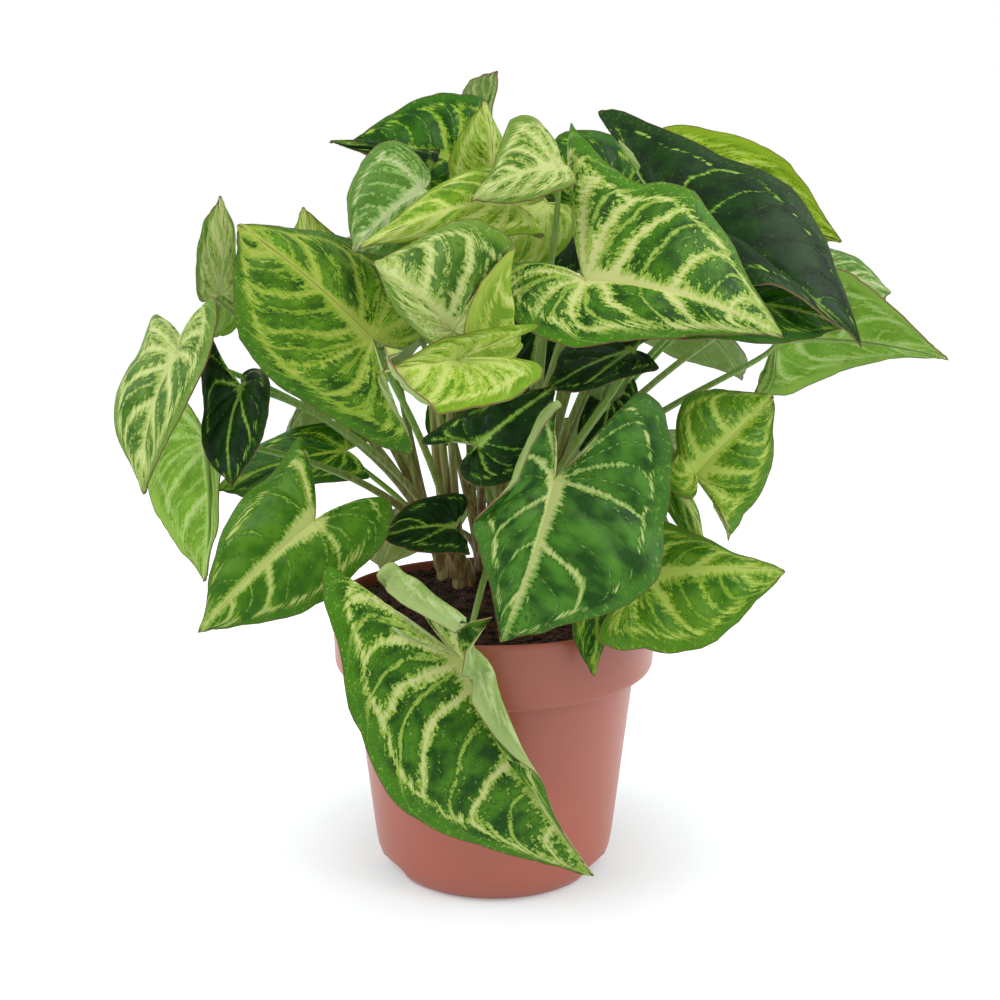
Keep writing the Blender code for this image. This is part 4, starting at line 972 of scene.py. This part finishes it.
def blade_mesh(name, blade, columns, rows, shift, frill):
    """The bare sheet of a blade. Its marks are kept at face corners, so that the ribs, which all meet at
    the joint, keep their own counts there. shift moves its pattern from other leaves'."""
    index, verts, faces, corners = {}, [], [], []
    for side in (0, 1):
        places, shares = flat_places(blade, side, columns, rows, frill, shift)
        points = [[blade.point(side, *place) for place in column] for column in places]
        marks = blade_marks(blade, side, columns, rows, places, shares, points)
        for i in range(columns):
            for j in range(rows):
                around = ((i, j), (i, j + 1), (i + 1, j + 1), (i + 1, j))
                gathered = {}
                for a, b in around:
                    x, y = places[a][b]
                    key = ("rib", round(y, 5)) if x < 1e-9 else (side, a, b)
                    if key not in index:
                        index[key] = len(verts)
                        verts.append(points[a][b] * MM)
                    gathered.setdefault(index[key], []).append(marks[a][b])
                if len(gathered) < 3:
                    continue
                order = list(gathered) if side else list(gathered)[::-1]
                faces.append(order)
                for k in order:
                    rows_of = gathered[k]
                    corners.append([sum(values) / len(rows_of) for values in zip(*rows_of)])
    thing = new_piece(name, verts, [], faces)
    for n, mark in enumerate(MARKS):
        layer = thing.data.attributes.new(mark, "FLOAT", "CORNER")
        layer.data.foreach_set("value", [corner[n] for corner in corners])
    flat = thing.data.uv_layers.new(name="flat")
    flat.data.foreach_set("uv", [v for c in corners for v in (c[-2] + shift, c[-1])])
    return thing


def leaf_relief(material):
    """Geometry tree: swells a blade between its veins and waves its margin."""
    tree, given = new_tree("leaf_relief", {
        "Wave height": ("Float", 1.2 * MM), "Wave length": ("Float", 22 * MM),
        "Quilt height": ("Float", 0.6 * MM), "Seed": ("Float", 0.0)})
    out, rib = (add(tree, "GeometryNodeInputNamedAttribute", mark, data_type="FLOAT")
                for mark in ("out", "rib"))
    squared = add(tree, "ShaderNodeMath", out, out, operation="MULTIPLY")
    cubed = add(tree, "ShaderNodeMath", squared, out, operation="MULTIPLY")
    turn = add(tree, "ShaderNodeMath", vein_count(tree, out, rib), math.tau, operation="MULTIPLY")
    pillow = add(tree, "ShaderNodeMath", turn, operation="COSINE")
    inward = add(tree, "ShaderNodeMath", 1.0, out, operation="SUBTRACT")
    taper = add(tree, "ShaderNodeMath", out, inward, operation="MULTIPLY")
    taper = add(tree, "ShaderNodeMath", taper, 2.0, operation="MULTIPLY")
    pillow = add(tree, "ShaderNodeMath", pillow, taper, operation="MULTIPLY")
    quilt = add(tree, "ShaderNodeMath", pillow, given.outputs["Quilt height"], operation="MULTIPLY")
    place = add(tree, "GeometryNodeInputPosition")
    scale = add(tree, "ShaderNodeMath", 1.0, given.outputs["Wave length"], operation="DIVIDE")
    swell = add(tree, "ShaderNodeTexNoise", place, given.outputs["Seed"], scale, 1.0, 0.4,
                noise_dimensions="4D")
    swell = add(tree, "ShaderNodeMath", swell, 0.5, operation="SUBTRACT")
    swell = add(tree, "ShaderNodeMath", swell, cubed, operation="MULTIPLY")
    swell = add(tree, "ShaderNodeMath", swell, 3.0, operation="MULTIPLY")
    lift = add(tree, "ShaderNodeMath", swell, given.outputs["Wave height"], quilt, operation="MULTIPLY_ADD")
    normal = add(tree, "GeometryNodeInputNormal")
    offset = add(tree, "ShaderNodeVectorMath", normal, operation="SCALE", sockets={"Scale": lift})
    moved = add(tree, "GeometryNodeSetPosition", given, sockets={"Offset": offset})
    close_tree(tree, moved, material)
    return tree


def build_blades(plant):
    """One piece for each leaf blade, with its skin above, its underside and its dry edge."""
    edge = blade_edge()
    skins, reliefs = {}, {}
    for name, look in LOOKS.items():
        upper = blade_surface("leaf_waxy_skin_" + name, look, False)
        skins[name] = (upper, blade_surface("leaf_underside_" + name, look, True), edge)
        reliefs[name] = leaf_relief(upper)
    for number, (name, leaf) in enumerate(LEAVES.items()):
        blade = Blade(leaf, joint_in_frame(name, leaf))
        frill = min(plant.frill / MM / blade.length, MOST_FRILL)
        thing = blade_mesh("blade_" + name, blade, plant.columns, plant.rows, LEAF_SHIFT * number, frill)
        for skin in skins[leaf.look]:
            thing.data.materials.append(skin)
        wave_height = plant.wave_height * min(1.0, blade.length / WAVED_LENGTH)
        use_tree(thing, reliefs[leaf.look], {
            "Wave height": wave_height, "Quilt height": plant.quilt_height, "Seed": number * SEED_STEP})
        shell = thing.modifiers.new("thickness", "SOLIDIFY")
        shell.thickness = plant.blade_thickness
        shell.offset = 0.0
        shell.material_offset = 1
        shell.material_offset_rim = 2
        apply_modifiers(thing)
        finish_piece(thing, ["leaf_" + name], 55.0)


def soil_height(x, y):
    """Top of the soil in mm at a place in mm: a low mound with broad lumps."""
    reach = math.hypot(x, y - 8.0) / 70.0
    mound = SOIL_EDGE_HEIGHT + (SOIL_CROWN_HEIGHT - SOIL_EDGE_HEIGHT) * max(0.0, 1.0 - reach * reach) ** 1.2
    lumps = 0.7 * math.sin(x * 0.21 + 1.0) * math.cos(y * 0.19) + 0.5 * math.sin(x * 0.43 - y * 0.37)
    return mound + lumps * min(1.0, max(0.0, (60.0 - math.hypot(x, y)) / 20.0))


def bezier(control, steps):
    """Points along a cubic curve with four control points."""
    a, b, c, d = control
    shares = [k / steps for k in range(steps + 1)]
    return [a * (1 - t) ** 3 + b * 3 * t * (1 - t) ** 2 + c * 3 * t * t * (1 - t) + d * t ** 3
            for t in shares]


def petiole_route(blade, foot, steps):
    """Points of the stalk from the shoot up into the blade's joint from below."""
    ahead = blade.sides[0][0].normalized()
    seat = blade.joint - blade.up * 0.4
    arrive = (blade.up + ahead * 0.15).normalized()
    base = Vector(foot)
    span = (seat - base).length
    rise = Vector((0, 0, 1)) * 0.45 + Vector((seat.x - base.x, seat.y - base.y, 0.0)).normalized() * 0.12
    return bezier([base, base + rise * span, seat - arrive * min(span * 0.28, PETIOLE_BEND), seat], steps)


def shoot_for(joint):
    """The shoot whose bearing from the crown is nearest the leaf's."""
    bearing = math.degrees(math.atan2(joint.y - CROWN[1], joint.x - CROWN[0]))
    apart = {name: abs((foot[2] - bearing + 180.0) % 360.0 - 180.0) for name, foot in SHOOTS.items()}
    return min(apart, key=apart.get)


def stalk_sweep(material):
    """Geometry tree: turns a line with a thickness at each point into a round stalk with closed ends."""
    tree, given = new_tree("stalk_sweep", {"Thickness": ("Float", 1.0), "Sides": ("Int", 10)})
    curve = add(tree, "GeometryNodeMeshToCurve", given)
    girth = add(tree, "GeometryNodeInputNamedAttribute", "girth", data_type="FLOAT")
    girth = add(tree, "ShaderNodeMath", girth, given.outputs["Thickness"], operation="MULTIPLY")
    ring = add(tree, "GeometryNodeCurvePrimitiveCircle", sockets={"Resolution": given.outputs["Sides"]})
    swept = add(tree, "GeometryNodeCurveToMesh", sockets={
        "Curve": curve, "Profile Curve": ring.outputs["Curve"], "Scale": girth, "Fill Caps": True})
    close_tree(tree, swept, material)
    return tree


def stalk_lines(stalks):
    """Verts, edges and per-point girth, run and tint of (route, girths, runs, tint) stalks."""
    verts, edges, girths, runs, tints = [], [], [], [], []
    for route, girth, runs_over, tint in stalks:
        start = len(verts)
        verts += [point * MM for point in route]
        edges += [(start + k, start + k + 1) for k in range(len(route) - 1)]
        girths += [g * MM for g in girth]
        runs += runs_over
        tints += [tint] * len(route)
    return verts, edges, {"girth": girths, "run": runs, "tint": tints}


def build_stalks(plant):
    """One piece for each shoot: its crown, its leaves' stalks and the ribs that these run into."""
    skin = petiole_skin()
    sweep = stalk_sweep(skin)
    blades = {name: Blade(leaf, joint_in_frame(name, leaf)) for name, leaf in LEAVES.items()}
    steps = plant.stalk_steps
    shares = [k / steps for k in range(steps + 1)]
    for shoot, (x, y, _) in SHOOTS.items():
        ring = [math.tau * k / 12 for k in range(12)]
        around = [(x + SHOOT_RADIUS * math.cos(a), y + SHOOT_RADIUS * math.sin(a)) for a in ring]
        ground = max(soil_height(*place) for place in around + [(x, y)]) - 1.0
        crown = [Vector((x, y, ground + SHOOT_HEIGHT * 1.3 * t)) for t in shares]
        crown_girth = [SHOOT_RADIUS * (1.0 - 0.55 * t * t) for t in shares]
        stalks = [(crown, crown_girth, [0.0] * len(crown), 0.3)]
        grown = [name for name in LEAVES if shoot_for(blades[name].joint) == shoot]
        for k, name in enumerate(grown):
            blade = blades[name]
            toward = Vector((blade.joint.x - x, blade.joint.y - y, 0.0)).normalized()
            foot = Vector((x, y, ground + FOOT_HEIGHT)) + toward * (FOOT_OUT + FOOT_STEP * k)
            girth = [plant.stalk_girth / MM * (1.0 - 0.45 * t) + SHEATH_FLARE * math.exp(-t * 14.0)
                     for t in shares]
            tint = (k * 0.37 + len(shoot) * 0.13) % 1.0
            stalks.append((petiole_route(blade, foot, steps), girth, shares, tint))
            rib_shares = [RIB_RUN * t for t in shares]
            rib_girth = [RIB_RADIUS * (1.0 - t) ** 0.8 + RIB_TIP_RADIUS for t in rib_shares]
            rib = [blade.point(0, 0.0, t) - blade.up * g for t, g in zip(rib_shares, rib_girth)]
            stalks.append((rib, rib_girth, [1.0] * len(rib), tint))
        verts, edges, layers = stalk_lines(stalks)
        thing = new_piece("stalks_" + shoot, verts, edges, [])
        for layer_name, values in layers.items():
            layer = thing.data.attributes.new(layer_name, "FLOAT", "POINT")
            layer.data.foreach_set("value", values)
        use_tree(thing, sweep, {"Thickness": 1.0, "Sides": 8})
        apply_modifiers(thing)
        finish_piece(thing, ["shoot_" + shoot], 60.0)


def rounded(profile, radius):
    """A profile with each inner corner turned into a short curve of about this radius."""
    found = [Vector(profile[0])]
    for before, corner, after in zip(profile, profile[1:], profile[2:]):
        before, corner, after = Vector(before), Vector(corner), Vector(after)
        back, on = before - corner, after - corner
        start = corner + back.normalized() * min(radius, back.length * 0.45)
        end = corner + on.normalized() * min(radius, on.length * 0.45)
        for t in (0.0, 0.33, 0.67, 1.0):
            found.append(start * (1 - t) ** 2 + corner * 2 * t * (1 - t) + end * t * t)
    return found + [Vector(profile[-1])]


def turned(name, profile, segments):
    """A closed body of revolution from a (radius, height) profile whose ends lie on the axis."""
    verts, rings, faces = [], [], []
    for radius, height in profile:
        count = segments if radius > 1e-6 else 1
        turn = [math.tau * k / segments for k in range(count)]
        rings.append(range(len(verts), len(verts) + count))
        verts += [Vector((radius * math.cos(a), radius * math.sin(a), height)) * MM for a in turn]
    for lower, upper in zip(rings, rings[1:]):
        for k in range(segments):
            around = [lower[k % len(lower)], lower[(k + 1) % len(lower)],
                      upper[(k + 1) % len(upper)], upper[k % len(upper)]]
            faces.append(list(dict.fromkeys(around)))
    thing = new_piece(name, verts, [], faces)
    bm = bmesh.new()
    bm.from_mesh(thing.data)
    bmesh.ops.recalc_face_normals(bm, faces=bm.faces)
    bm.to_mesh(thing.data)
    bm.free()
    return thing


def cut(target, tool):
    """Takes the tool's shape out of the target and removes the tool."""
    step = target.modifiers.new("cut", "BOOLEAN")
    step.operation = "DIFFERENCE"
    step.solver = "EXACT"
    step.object = tool
    apply_modifiers(target)
    bpy.data.objects.remove(tool, do_unlink=True)


def notch_cutter(angle):
    """A rounded arch that passes radially through the standing ring."""
    half, steps = NOTCH_WIDTH / 2, 24
    arch = [(-half, -2.0), (half, -2.0), (half, 0.0)]
    for k in range(1, steps):
        c, s = math.cos(math.pi * k / steps), math.sin(math.pi * k / steps)
        arch.append((half * math.copysign(abs(c) ** NOTCH_SQUARE, c), NOTCH_HEIGHT * s ** NOTCH_SQUARE))
    arch.append((-half, 0.0))
    out = Vector((math.cos(angle), math.sin(angle), 0.0))
    side = Vector((-out.y, out.x, 0.0))
    verts = [(out * far + side * across + Vector((0, 0, height))) * MM
             for far in (POT_RING_INNER + 1.4, 60.0) for across, height in arch]
    count = len(arch)
    faces = [list(range(count))[::-1], list(range(count, 2 * count))]
    faces += [[k, (k + 1) % count, (k + 1) % count + count, k + count] for k in range(count)]
    return new_piece("notch", verts, [], faces)


def build_pot(pot):
    """Tapered shell with a rolled rim band, arched standing ring and pierced floor."""
    wide, tall = RIM_RADIUS / DRAWN_RIM, POT_HEIGHT / DRAWN_HEIGHT
    underside = [(POT_RING_INNER, 0.0), (POT_RING_INNER - 1.2, POT_PLATE_UNDERSIDE),
                 (POT_CENTRE_DISC + 1.2, POT_PLATE_UNDERSIDE), (POT_CENTRE_DISC, 0.0), (0.0, 0.0)]
    profile = [(0.0, POT_INNER[-1][1])] + POT_INNER[::-1] + POT_OUTER[::-1] + underside
    profile = [(radius * wide, height * tall) for radius, height in profile]
    shell = turned("pot_shell", rounded(profile, pot.corner_radius / MM), pot.segments)
    for k in range(DRAIN_HOLES):
        angle = math.tau * (k + 0.44) / DRAIN_HOLES
        hole = turned("hole", [(0, -2), (DRAIN_HOLE_RADIUS, -2), (DRAIN_HOLE_RADIUS, 9), (0, 9)], 28)
        at = Vector((DRAIN_RING_RADIUS * math.cos(angle), DRAIN_RING_RADIUS * math.sin(angle), 0.0))
        hole.data.transform(Matrix.Translation(at * MM))
        cut(shell, hole)
    for bearing in NOTCH_ANGLES:
        cut(shell, notch_cutter(math.radians(bearing - 90.0)))
    shell.data.materials.clear()
    shell.data.materials.append(pot_polypropylene(pot.colour))
    finish_piece(shell, ["pot"], 32.0)


def rough_soil_height(x, y):
    """The soil's top with its clods and grains, in mm."""
    at = Vector((x, y, 0.0))
    clods = 1.6 * noise.noise(at * 0.16) + 1.2 * noise.noise(at * 0.42) + 0.5 * noise.noise(at * 1.1)
    return soil_height(x, y) + clods * min(1.0, (64.0 - math.hypot(x, y)) / 10.0)


def soil_scatter(name, shape, material, least, most, sink):
    """Geometry tree: scatters copies of a small shape over the top of the soil, turned at random.

    shape is a function that adds the nodes of one copy. Copies keep within Reach of the middle.
    """
    tree, given = new_tree(name, {
        "Density": ("Float", 100000.0), "Reach": ("Float", 56 * MM), "Size": ("Float", 1.0),
        "Seed": ("Int", 1)})
    normal = add(tree, "ShaderNodeSeparateXYZ", add(tree, "GeometryNodeInputNormal"))
    faces_up = add(tree, "FunctionNodeCompare", normal.outputs["Z"], 0.5, data_type="FLOAT",
                   operation="GREATER_THAN")
    level = add(tree, "GeometryNodeInputPosition")
    level = add(tree, "ShaderNodeVectorMath", level, (1, 1, 0), operation="MULTIPLY")
    away = add(tree, "ShaderNodeVectorMath", level, operation="LENGTH").outputs["Value"]
    within = add(tree, "FunctionNodeCompare", away, given.outputs["Reach"], data_type="FLOAT",
                 operation="LESS_THAN")
    chosen = add(tree, "FunctionNodeBooleanMath", faces_up, within, operation="AND")
    spots = add(tree, "GeometryNodeDistributePointsOnFaces", sockets={
        "Mesh": given.outputs["Geometry"], "Selection": chosen,
        "Density": given.outputs["Density"], "Seed": given.outputs["Seed"]})
    turn = add(tree, "FunctionNodeRandomValue", data_type="FLOAT_VECTOR", sockets={
        "Min": (-0.5, -0.5, 0.0), "Max": (0.5, 0.5, math.tau), "Seed": 7})
    size = add(tree, "FunctionNodeRandomValue", data_type="FLOAT_VECTOR", sockets={
        "Min": (least, least, least * 0.7), "Max": (most, most, most * 0.7), "Seed": 11})
    size = add(tree, "ShaderNodeVectorMath", size, operation="SCALE", sockets={
        "Scale": given.outputs["Size"]})
    copies = add(tree, "GeometryNodeInstanceOnPoints", sockets={
        "Points": spots.outputs["Points"], "Instance": shape(tree), "Rotation": turn, "Scale": size})
    sunk = add(tree, "GeometryNodeTranslateInstances", sockets={
        "Instances": copies, "Translation": (0.0, 0.0, -sink * MM), "Local Space": False})
    close_tree(tree, sunk, material)
    return tree


def crumb(tree):
    """One lump of soil: a ball of 80 faces dented by noise."""
    ball = add(tree, "GeometryNodeMeshIcoSphere", sockets={"Radius": 1.0 * MM, "Subdivisions": 2})
    place = add(tree, "GeometryNodeInputPosition")
    dent = add(tree, "ShaderNodeTexNoise", place, CRUMB_DENTS, 1.0, 0.5).outputs["Color"]
    dent = add(tree, "ShaderNodeVectorMath", dent, (0.5, 0.5, 0.5), operation="SUBTRACT")
    dent = add(tree, "ShaderNodeVectorMath", dent, operation="SCALE", sockets={"Scale": 1.6 * MM})
    return add(tree, "GeometryNodeSetPosition", ball.outputs["Mesh"], sockets={"Offset": dent})


def fibre(tree):
    """One strand of coir: a thin bowed thread 12 mm long."""
    line = add(tree, "GeometryNodeCurveQuadraticBezier", sockets={
        "Resolution": 8, "Start": (-6 * MM, 0, 0), "Middle": (0, 5 * MM, 3.5 * MM),
        "End": (6 * MM, -1 * MM, 0.4 * MM)})
    ring = add(tree, "GeometryNodeCurvePrimitiveCircle", sockets={
        "Resolution": 4, "Radius": FIBRE_RADIUS * MM})
    return add(tree, "GeometryNodeCurveToMesh", sockets={
        "Curve": line, "Profile Curve": ring.outputs["Curve"], "Fill Caps": True})


def build_soil(soil):
    """The plug of compost with its rough top, crumbs and fibres."""
    top = [(SOIL_RADIUS * (1 - k / SOIL_RINGS), SOIL_EDGE_HEIGHT) for k in range(SOIL_RINGS)]
    bed = turned("soil_bed", SOIL_WALL + top + [(0.0, SOIL_EDGE_HEIGHT)], SOIL_SEGMENTS)
    for vert in bed.data.vertices:
        if vert.co.z > (SOIL_EDGE_HEIGHT - 0.5) * MM:
            vert.co.z = rough_soil_height(vert.co.x / MM, vert.co.y / MM) * MM
    bed.data.materials.append(peat("peat_sieved_compost", "#160d0a", "#4a2f22"))
    scattered = {
        "soil_crumbs": (soil_scatter("soil_crumbs", crumb, peat("bark_milled_crumbs", "#1d120d", "#5a3a2a"),
                                     0.5, 2.3, 0.2), soil.crumb_density, 59 * MM),
        "soil_fibres": (soil_scatter("soil_fibres", fibre, coir(), 0.4, 1.1, 0.5),
                        soil.fibre_density, 52 * MM),
    }
    for number, (name, (tree, density, reach)) in enumerate(scattered.items()):
        thing = bpy.data.objects.new(name, bed.data.copy())
        bpy.context.scene.collection.objects.link(thing)
        use_tree(thing, tree, {"Density": density, "Reach": reach, "Size": 1.0, "Seed": 3 + number})
        apply_modifiers(thing)
        finish_piece(thing, [], 60.0)
    finish_piece(bed, ["soil"], 60.0)


def ray_is(tree, *kinds):
    """Adds 1 for a ray of any of these kinds, and 0 for any other."""
    rays = add(tree, "ShaderNodeLightPath").outputs
    found = rays[kinds[0]]
    for kind in kinds[1:]:
        found = add(tree, "ShaderNodeMath", found, rays[kind], operation="MAXIMUM")
    return found


def floor_with_painted_shadow(near, far):
    """Matt white paint, rolled, tinted cool, and glowing as it is seen: near and far are what it glows, by
    the pot and beyond, so that the weaker glow by the pot is a painted shadow round its foot.
    """
    made, tree = new_material("floor_white_paint_and_painted_shadow")
    card = add(tree, "ShaderNodeBsdfDiffuse", to_linear("#e5f0f3"))
    away = add(tree, "ShaderNodeTexCoord").outputs["Object"]
    away = add(tree, "ShaderNodeVectorMath", away, operation="LENGTH").outputs["Value"]
    # painted shadow: the glow is lowest by the pot's foot and rises further out
    glow = add(tree, "ShaderNodeMapRange", away, *PAINTED_SHADOW_RADII, near, far)
    glow = add(tree, "ShaderNodeMath", ray_is(tree, "Is Camera Ray", "Is Glossy Ray"), glow,
               operation="MULTIPLY")
    lift = add(tree, "ShaderNodeEmission", (1, 1, 1, 1), glow)
    close_material(tree, add(tree, "ShaderNodeAddShader", card, lift))
    return made


def new_holder(name, data, place, turn):
    """A lamp or camera at a place, turned."""
    holder = bpy.data.objects.new(name, data)
    holder.location = place
    holder.rotation_euler = turn
    bpy.context.scene.collection.objects.link(holder)
    return holder


def build_stage(stage):
    """Pale floor that keeps the shadow and has a painted shadow round the pot's foot, white surroundings,
    soft lamps and the camera.
    """
    corners = ((-1, -1), (1, -1), (1, 1), (-1, 1))
    floor = new_piece("floor", [(x * FLOOR_REACH, y * FLOOR_REACH, 0) for x, y in corners], [], [range(4)])
    floor.data.materials.append(floor_with_painted_shadow(stage.floor_glow, stage.floor_glow + FAR_GLOW))

    world = bpy.data.worlds.new("studio")
    bpy.context.scene.world = world
    world.use_nodes = True
    world.node_tree.nodes.clear()
    tree = world.node_tree
    seen = ray_is(tree, "Is Camera Ray", "Is Glossy Ray", "Is Transmission Ray")
    strength = add(tree, "ShaderNodeMapRange", seen, 0.0, 1.0, stage.room_light, 1.0)
    add(tree, "ShaderNodeOutputWorld", add(tree, "ShaderNodeBackground", (1, 1, 1, 1), strength))

    for name, place, watts in (("key", KEY_PLACE, stage.key_watts), ("fill", FILL_PLACE, stage.fill_watts)):
        lamp = bpy.data.lights.new(name, "AREA")
        lamp.energy = watts
        lamp.size = LAMP_SIZE
        aim = (Vector(LAMP_TARGET) - Vector(place)).to_track_quat("-Z", "Y").to_euler()
        new_holder(name, lamp, place, aim)

    camera = bpy.data.cameras.new("camera")
    camera.lens = CAMERA_LENS
    camera.shift_x = CAMERA_SHIFT
    camera.clip_start = 20 * MM
    tilt = (math.radians(90.0 - CAMERA_DIP), 0.0, 0.0)
    bpy.context.scene.camera = new_holder("camera", camera, CAMERA_PLACE, tilt)
    bpy.context.scene.view_settings.view_transform = "Standard"


class VinePotSettings(bpy.types.PropertyGroup):
    """Settings of the pot"""
    colour: FloatVectorProperty(name="Colour", description="Colour of the pot's plastic", subtype="COLOR",
                                size=3, min=0.0, max=1.0, default=to_linear("#b56350")[:3])
    corner_radius: FloatProperty(name="Corner radius", description="Rounding of the pot's corners",
                                 unit="LENGTH", default=0.6 * MM, min=0.1 * MM)
    segments: IntProperty(name="Segments", description="Flats round the pot", default=168, min=48)


class VinePlantSettings(bpy.types.PropertyGroup):
    """Settings of the blades and stalks"""
    blade_thickness: FloatProperty(name="Blade thickness", description="Thickness of a leaf",
                                   unit="LENGTH", default=0.55 * MM, min=0.1 * MM)
    wave_height: FloatProperty(name="Wave height", description="How far leaf margins wave",
                               unit="LENGTH", default=1.8 * MM)
    quilt_height: FloatProperty(name="Quilt height", description="How far leaves swell between veins",
                                unit="LENGTH", default=1.0 * MM)
    frill: FloatProperty(name="Frill", description="How uneven a leaf's outline is",
                         unit="LENGTH", default=1.3 * MM)
    stalk_girth: FloatProperty(name="Stalk radius", description="Radius of a leaf stalk near the shoot",
                               unit="LENGTH", default=1.75 * MM, min=0.5 * MM)
    columns: IntProperty(name="Columns", description="Divisions round half a leaf", default=56, min=16)
    rows: IntProperty(name="Rows", description="Divisions from midrib to margin", default=16, min=4)
    stalk_steps: IntProperty(name="Stalk steps", description="Divisions along a stalk", default=22, min=6)


class VineSoilSettings(bpy.types.PropertyGroup):
    """Settings of the soil"""
    crumb_density: FloatProperty(name="Crumb density", description="Crumbs to a square metre of soil",
                                 default=130000.0, min=0.0)
    fibre_density: FloatProperty(name="Fibre density", description="Fibres to a square metre of soil",
                                 default=42000.0, min=0.0)


class VineStageSettings(bpy.types.PropertyGroup):
    """Settings of the lamps and the floor"""
    key_watts: FloatProperty(name="Key lamp", description="Power of the main lamp",
                             unit="POWER", default=6.8)
    fill_watts: FloatProperty(name="Fill lamp", description="Power of the second lamp",
                              unit="POWER", default=5.8)
    room_light: FloatProperty(name="Room light", description="Strength of the light from all round",
                              default=0.55)
    # the glow by the pot, lower than beyond: the level of the painted shadow round the foot
    floor_glow: FloatProperty(name="Floor glow", description="Strength added to the floor as it is seen",
                              default=0.21)


class VINE_OT_pot(bpy.types.Operator):
    """Build the moulded pot"""
    bl_idname = "vine.pot"
    bl_label = "Pot"

    def execute(self, context):
        build_pot(context.scene.vine_pot)
        return {"FINISHED"}


class VINE_OT_soil(bpy.types.Operator):
    """Build the soil with its crumbs and fibres"""
    bl_idname = "vine.soil"
    bl_label = "Soil"

    def execute(self, context):
        build_soil(context.scene.vine_soil)
        return {"FINISHED"}


class VINE_OT_blades(bpy.types.Operator):
    """Build the leaf blades"""
    bl_idname = "vine.blades"
    bl_label = "Leaf blades"

    def execute(self, context):
        build_blades(context.scene.vine_plant)
        return {"FINISHED"}


class VINE_OT_stalks(bpy.types.Operator):
    """Build the shoots with their leaf stalks"""
    bl_idname = "vine.stalks"
    bl_label = "Leaf stalks"

    def execute(self, context):
        build_stalks(context.scene.vine_plant)
        return {"FINISHED"}


class VINE_OT_stage(bpy.types.Operator):
    """Build the floor, the lamps and the camera"""
    bl_idname = "vine.stage"
    bl_label = "Stage"

    def execute(self, context):
        build_stage(context.scene.vine_stage)
        return {"FINISHED"}


class VINE_PT_panel(bpy.types.Panel):
    """Sizes, colours and buttons for each part of the plant"""
    bl_idname = "VINE_PT_panel"
    bl_label = "Potted arrowhead vine"
    bl_space_type = "VIEW_3D"
    bl_region_type = "UI"
    bl_category = "Vine"

    def draw(self, context):
        for group, (_, names) in SETTINGS.items():
            settings = getattr(context.scene, group)
            box = self.layout.box()
            for prop in settings.bl_rna.properties:
                if prop.identifier not in ("rna_type", "name"):
                    box.prop(settings, prop.identifier)
            for name in names:
                box.operator(name)


SETTINGS = {
    "vine_pot": (VinePotSettings, ("vine.pot",)),
    "vine_soil": (VineSoilSettings, ("vine.soil",)),
    "vine_plant": (VinePlantSettings, ("vine.stalks", "vine.blades")),
    "vine_stage": (VineStageSettings, ("vine.stage",)),
}
CLASSES = [group for group, _ in SETTINGS.values()] + [
    VINE_OT_pot, VINE_OT_soil, VINE_OT_stalks, VINE_OT_blades, VINE_OT_stage, VINE_PT_panel]


def register():
    """Registers the settings, the operators and the panel."""
    for made in CLASSES:
        bpy.utils.register_class(made)
    for name, (group, _) in SETTINGS.items():
        setattr(bpy.types.Scene, name, PointerProperty(type=group))


def unregister():
    """Takes back what register did."""
    for name in SETTINGS:
        delattr(bpy.types.Scene, name)
    for made in reversed(CLASSES):
        bpy.utils.unregister_class(made)


def main():
    """Builds every piece."""
    register()
    bpy.ops.vine.pot()
    bpy.ops.vine.soil()
    bpy.ops.vine.stalks()
    bpy.ops.vine.blades()
    bpy.ops.vine.stage()


if __name__ == "__main__":
    main()
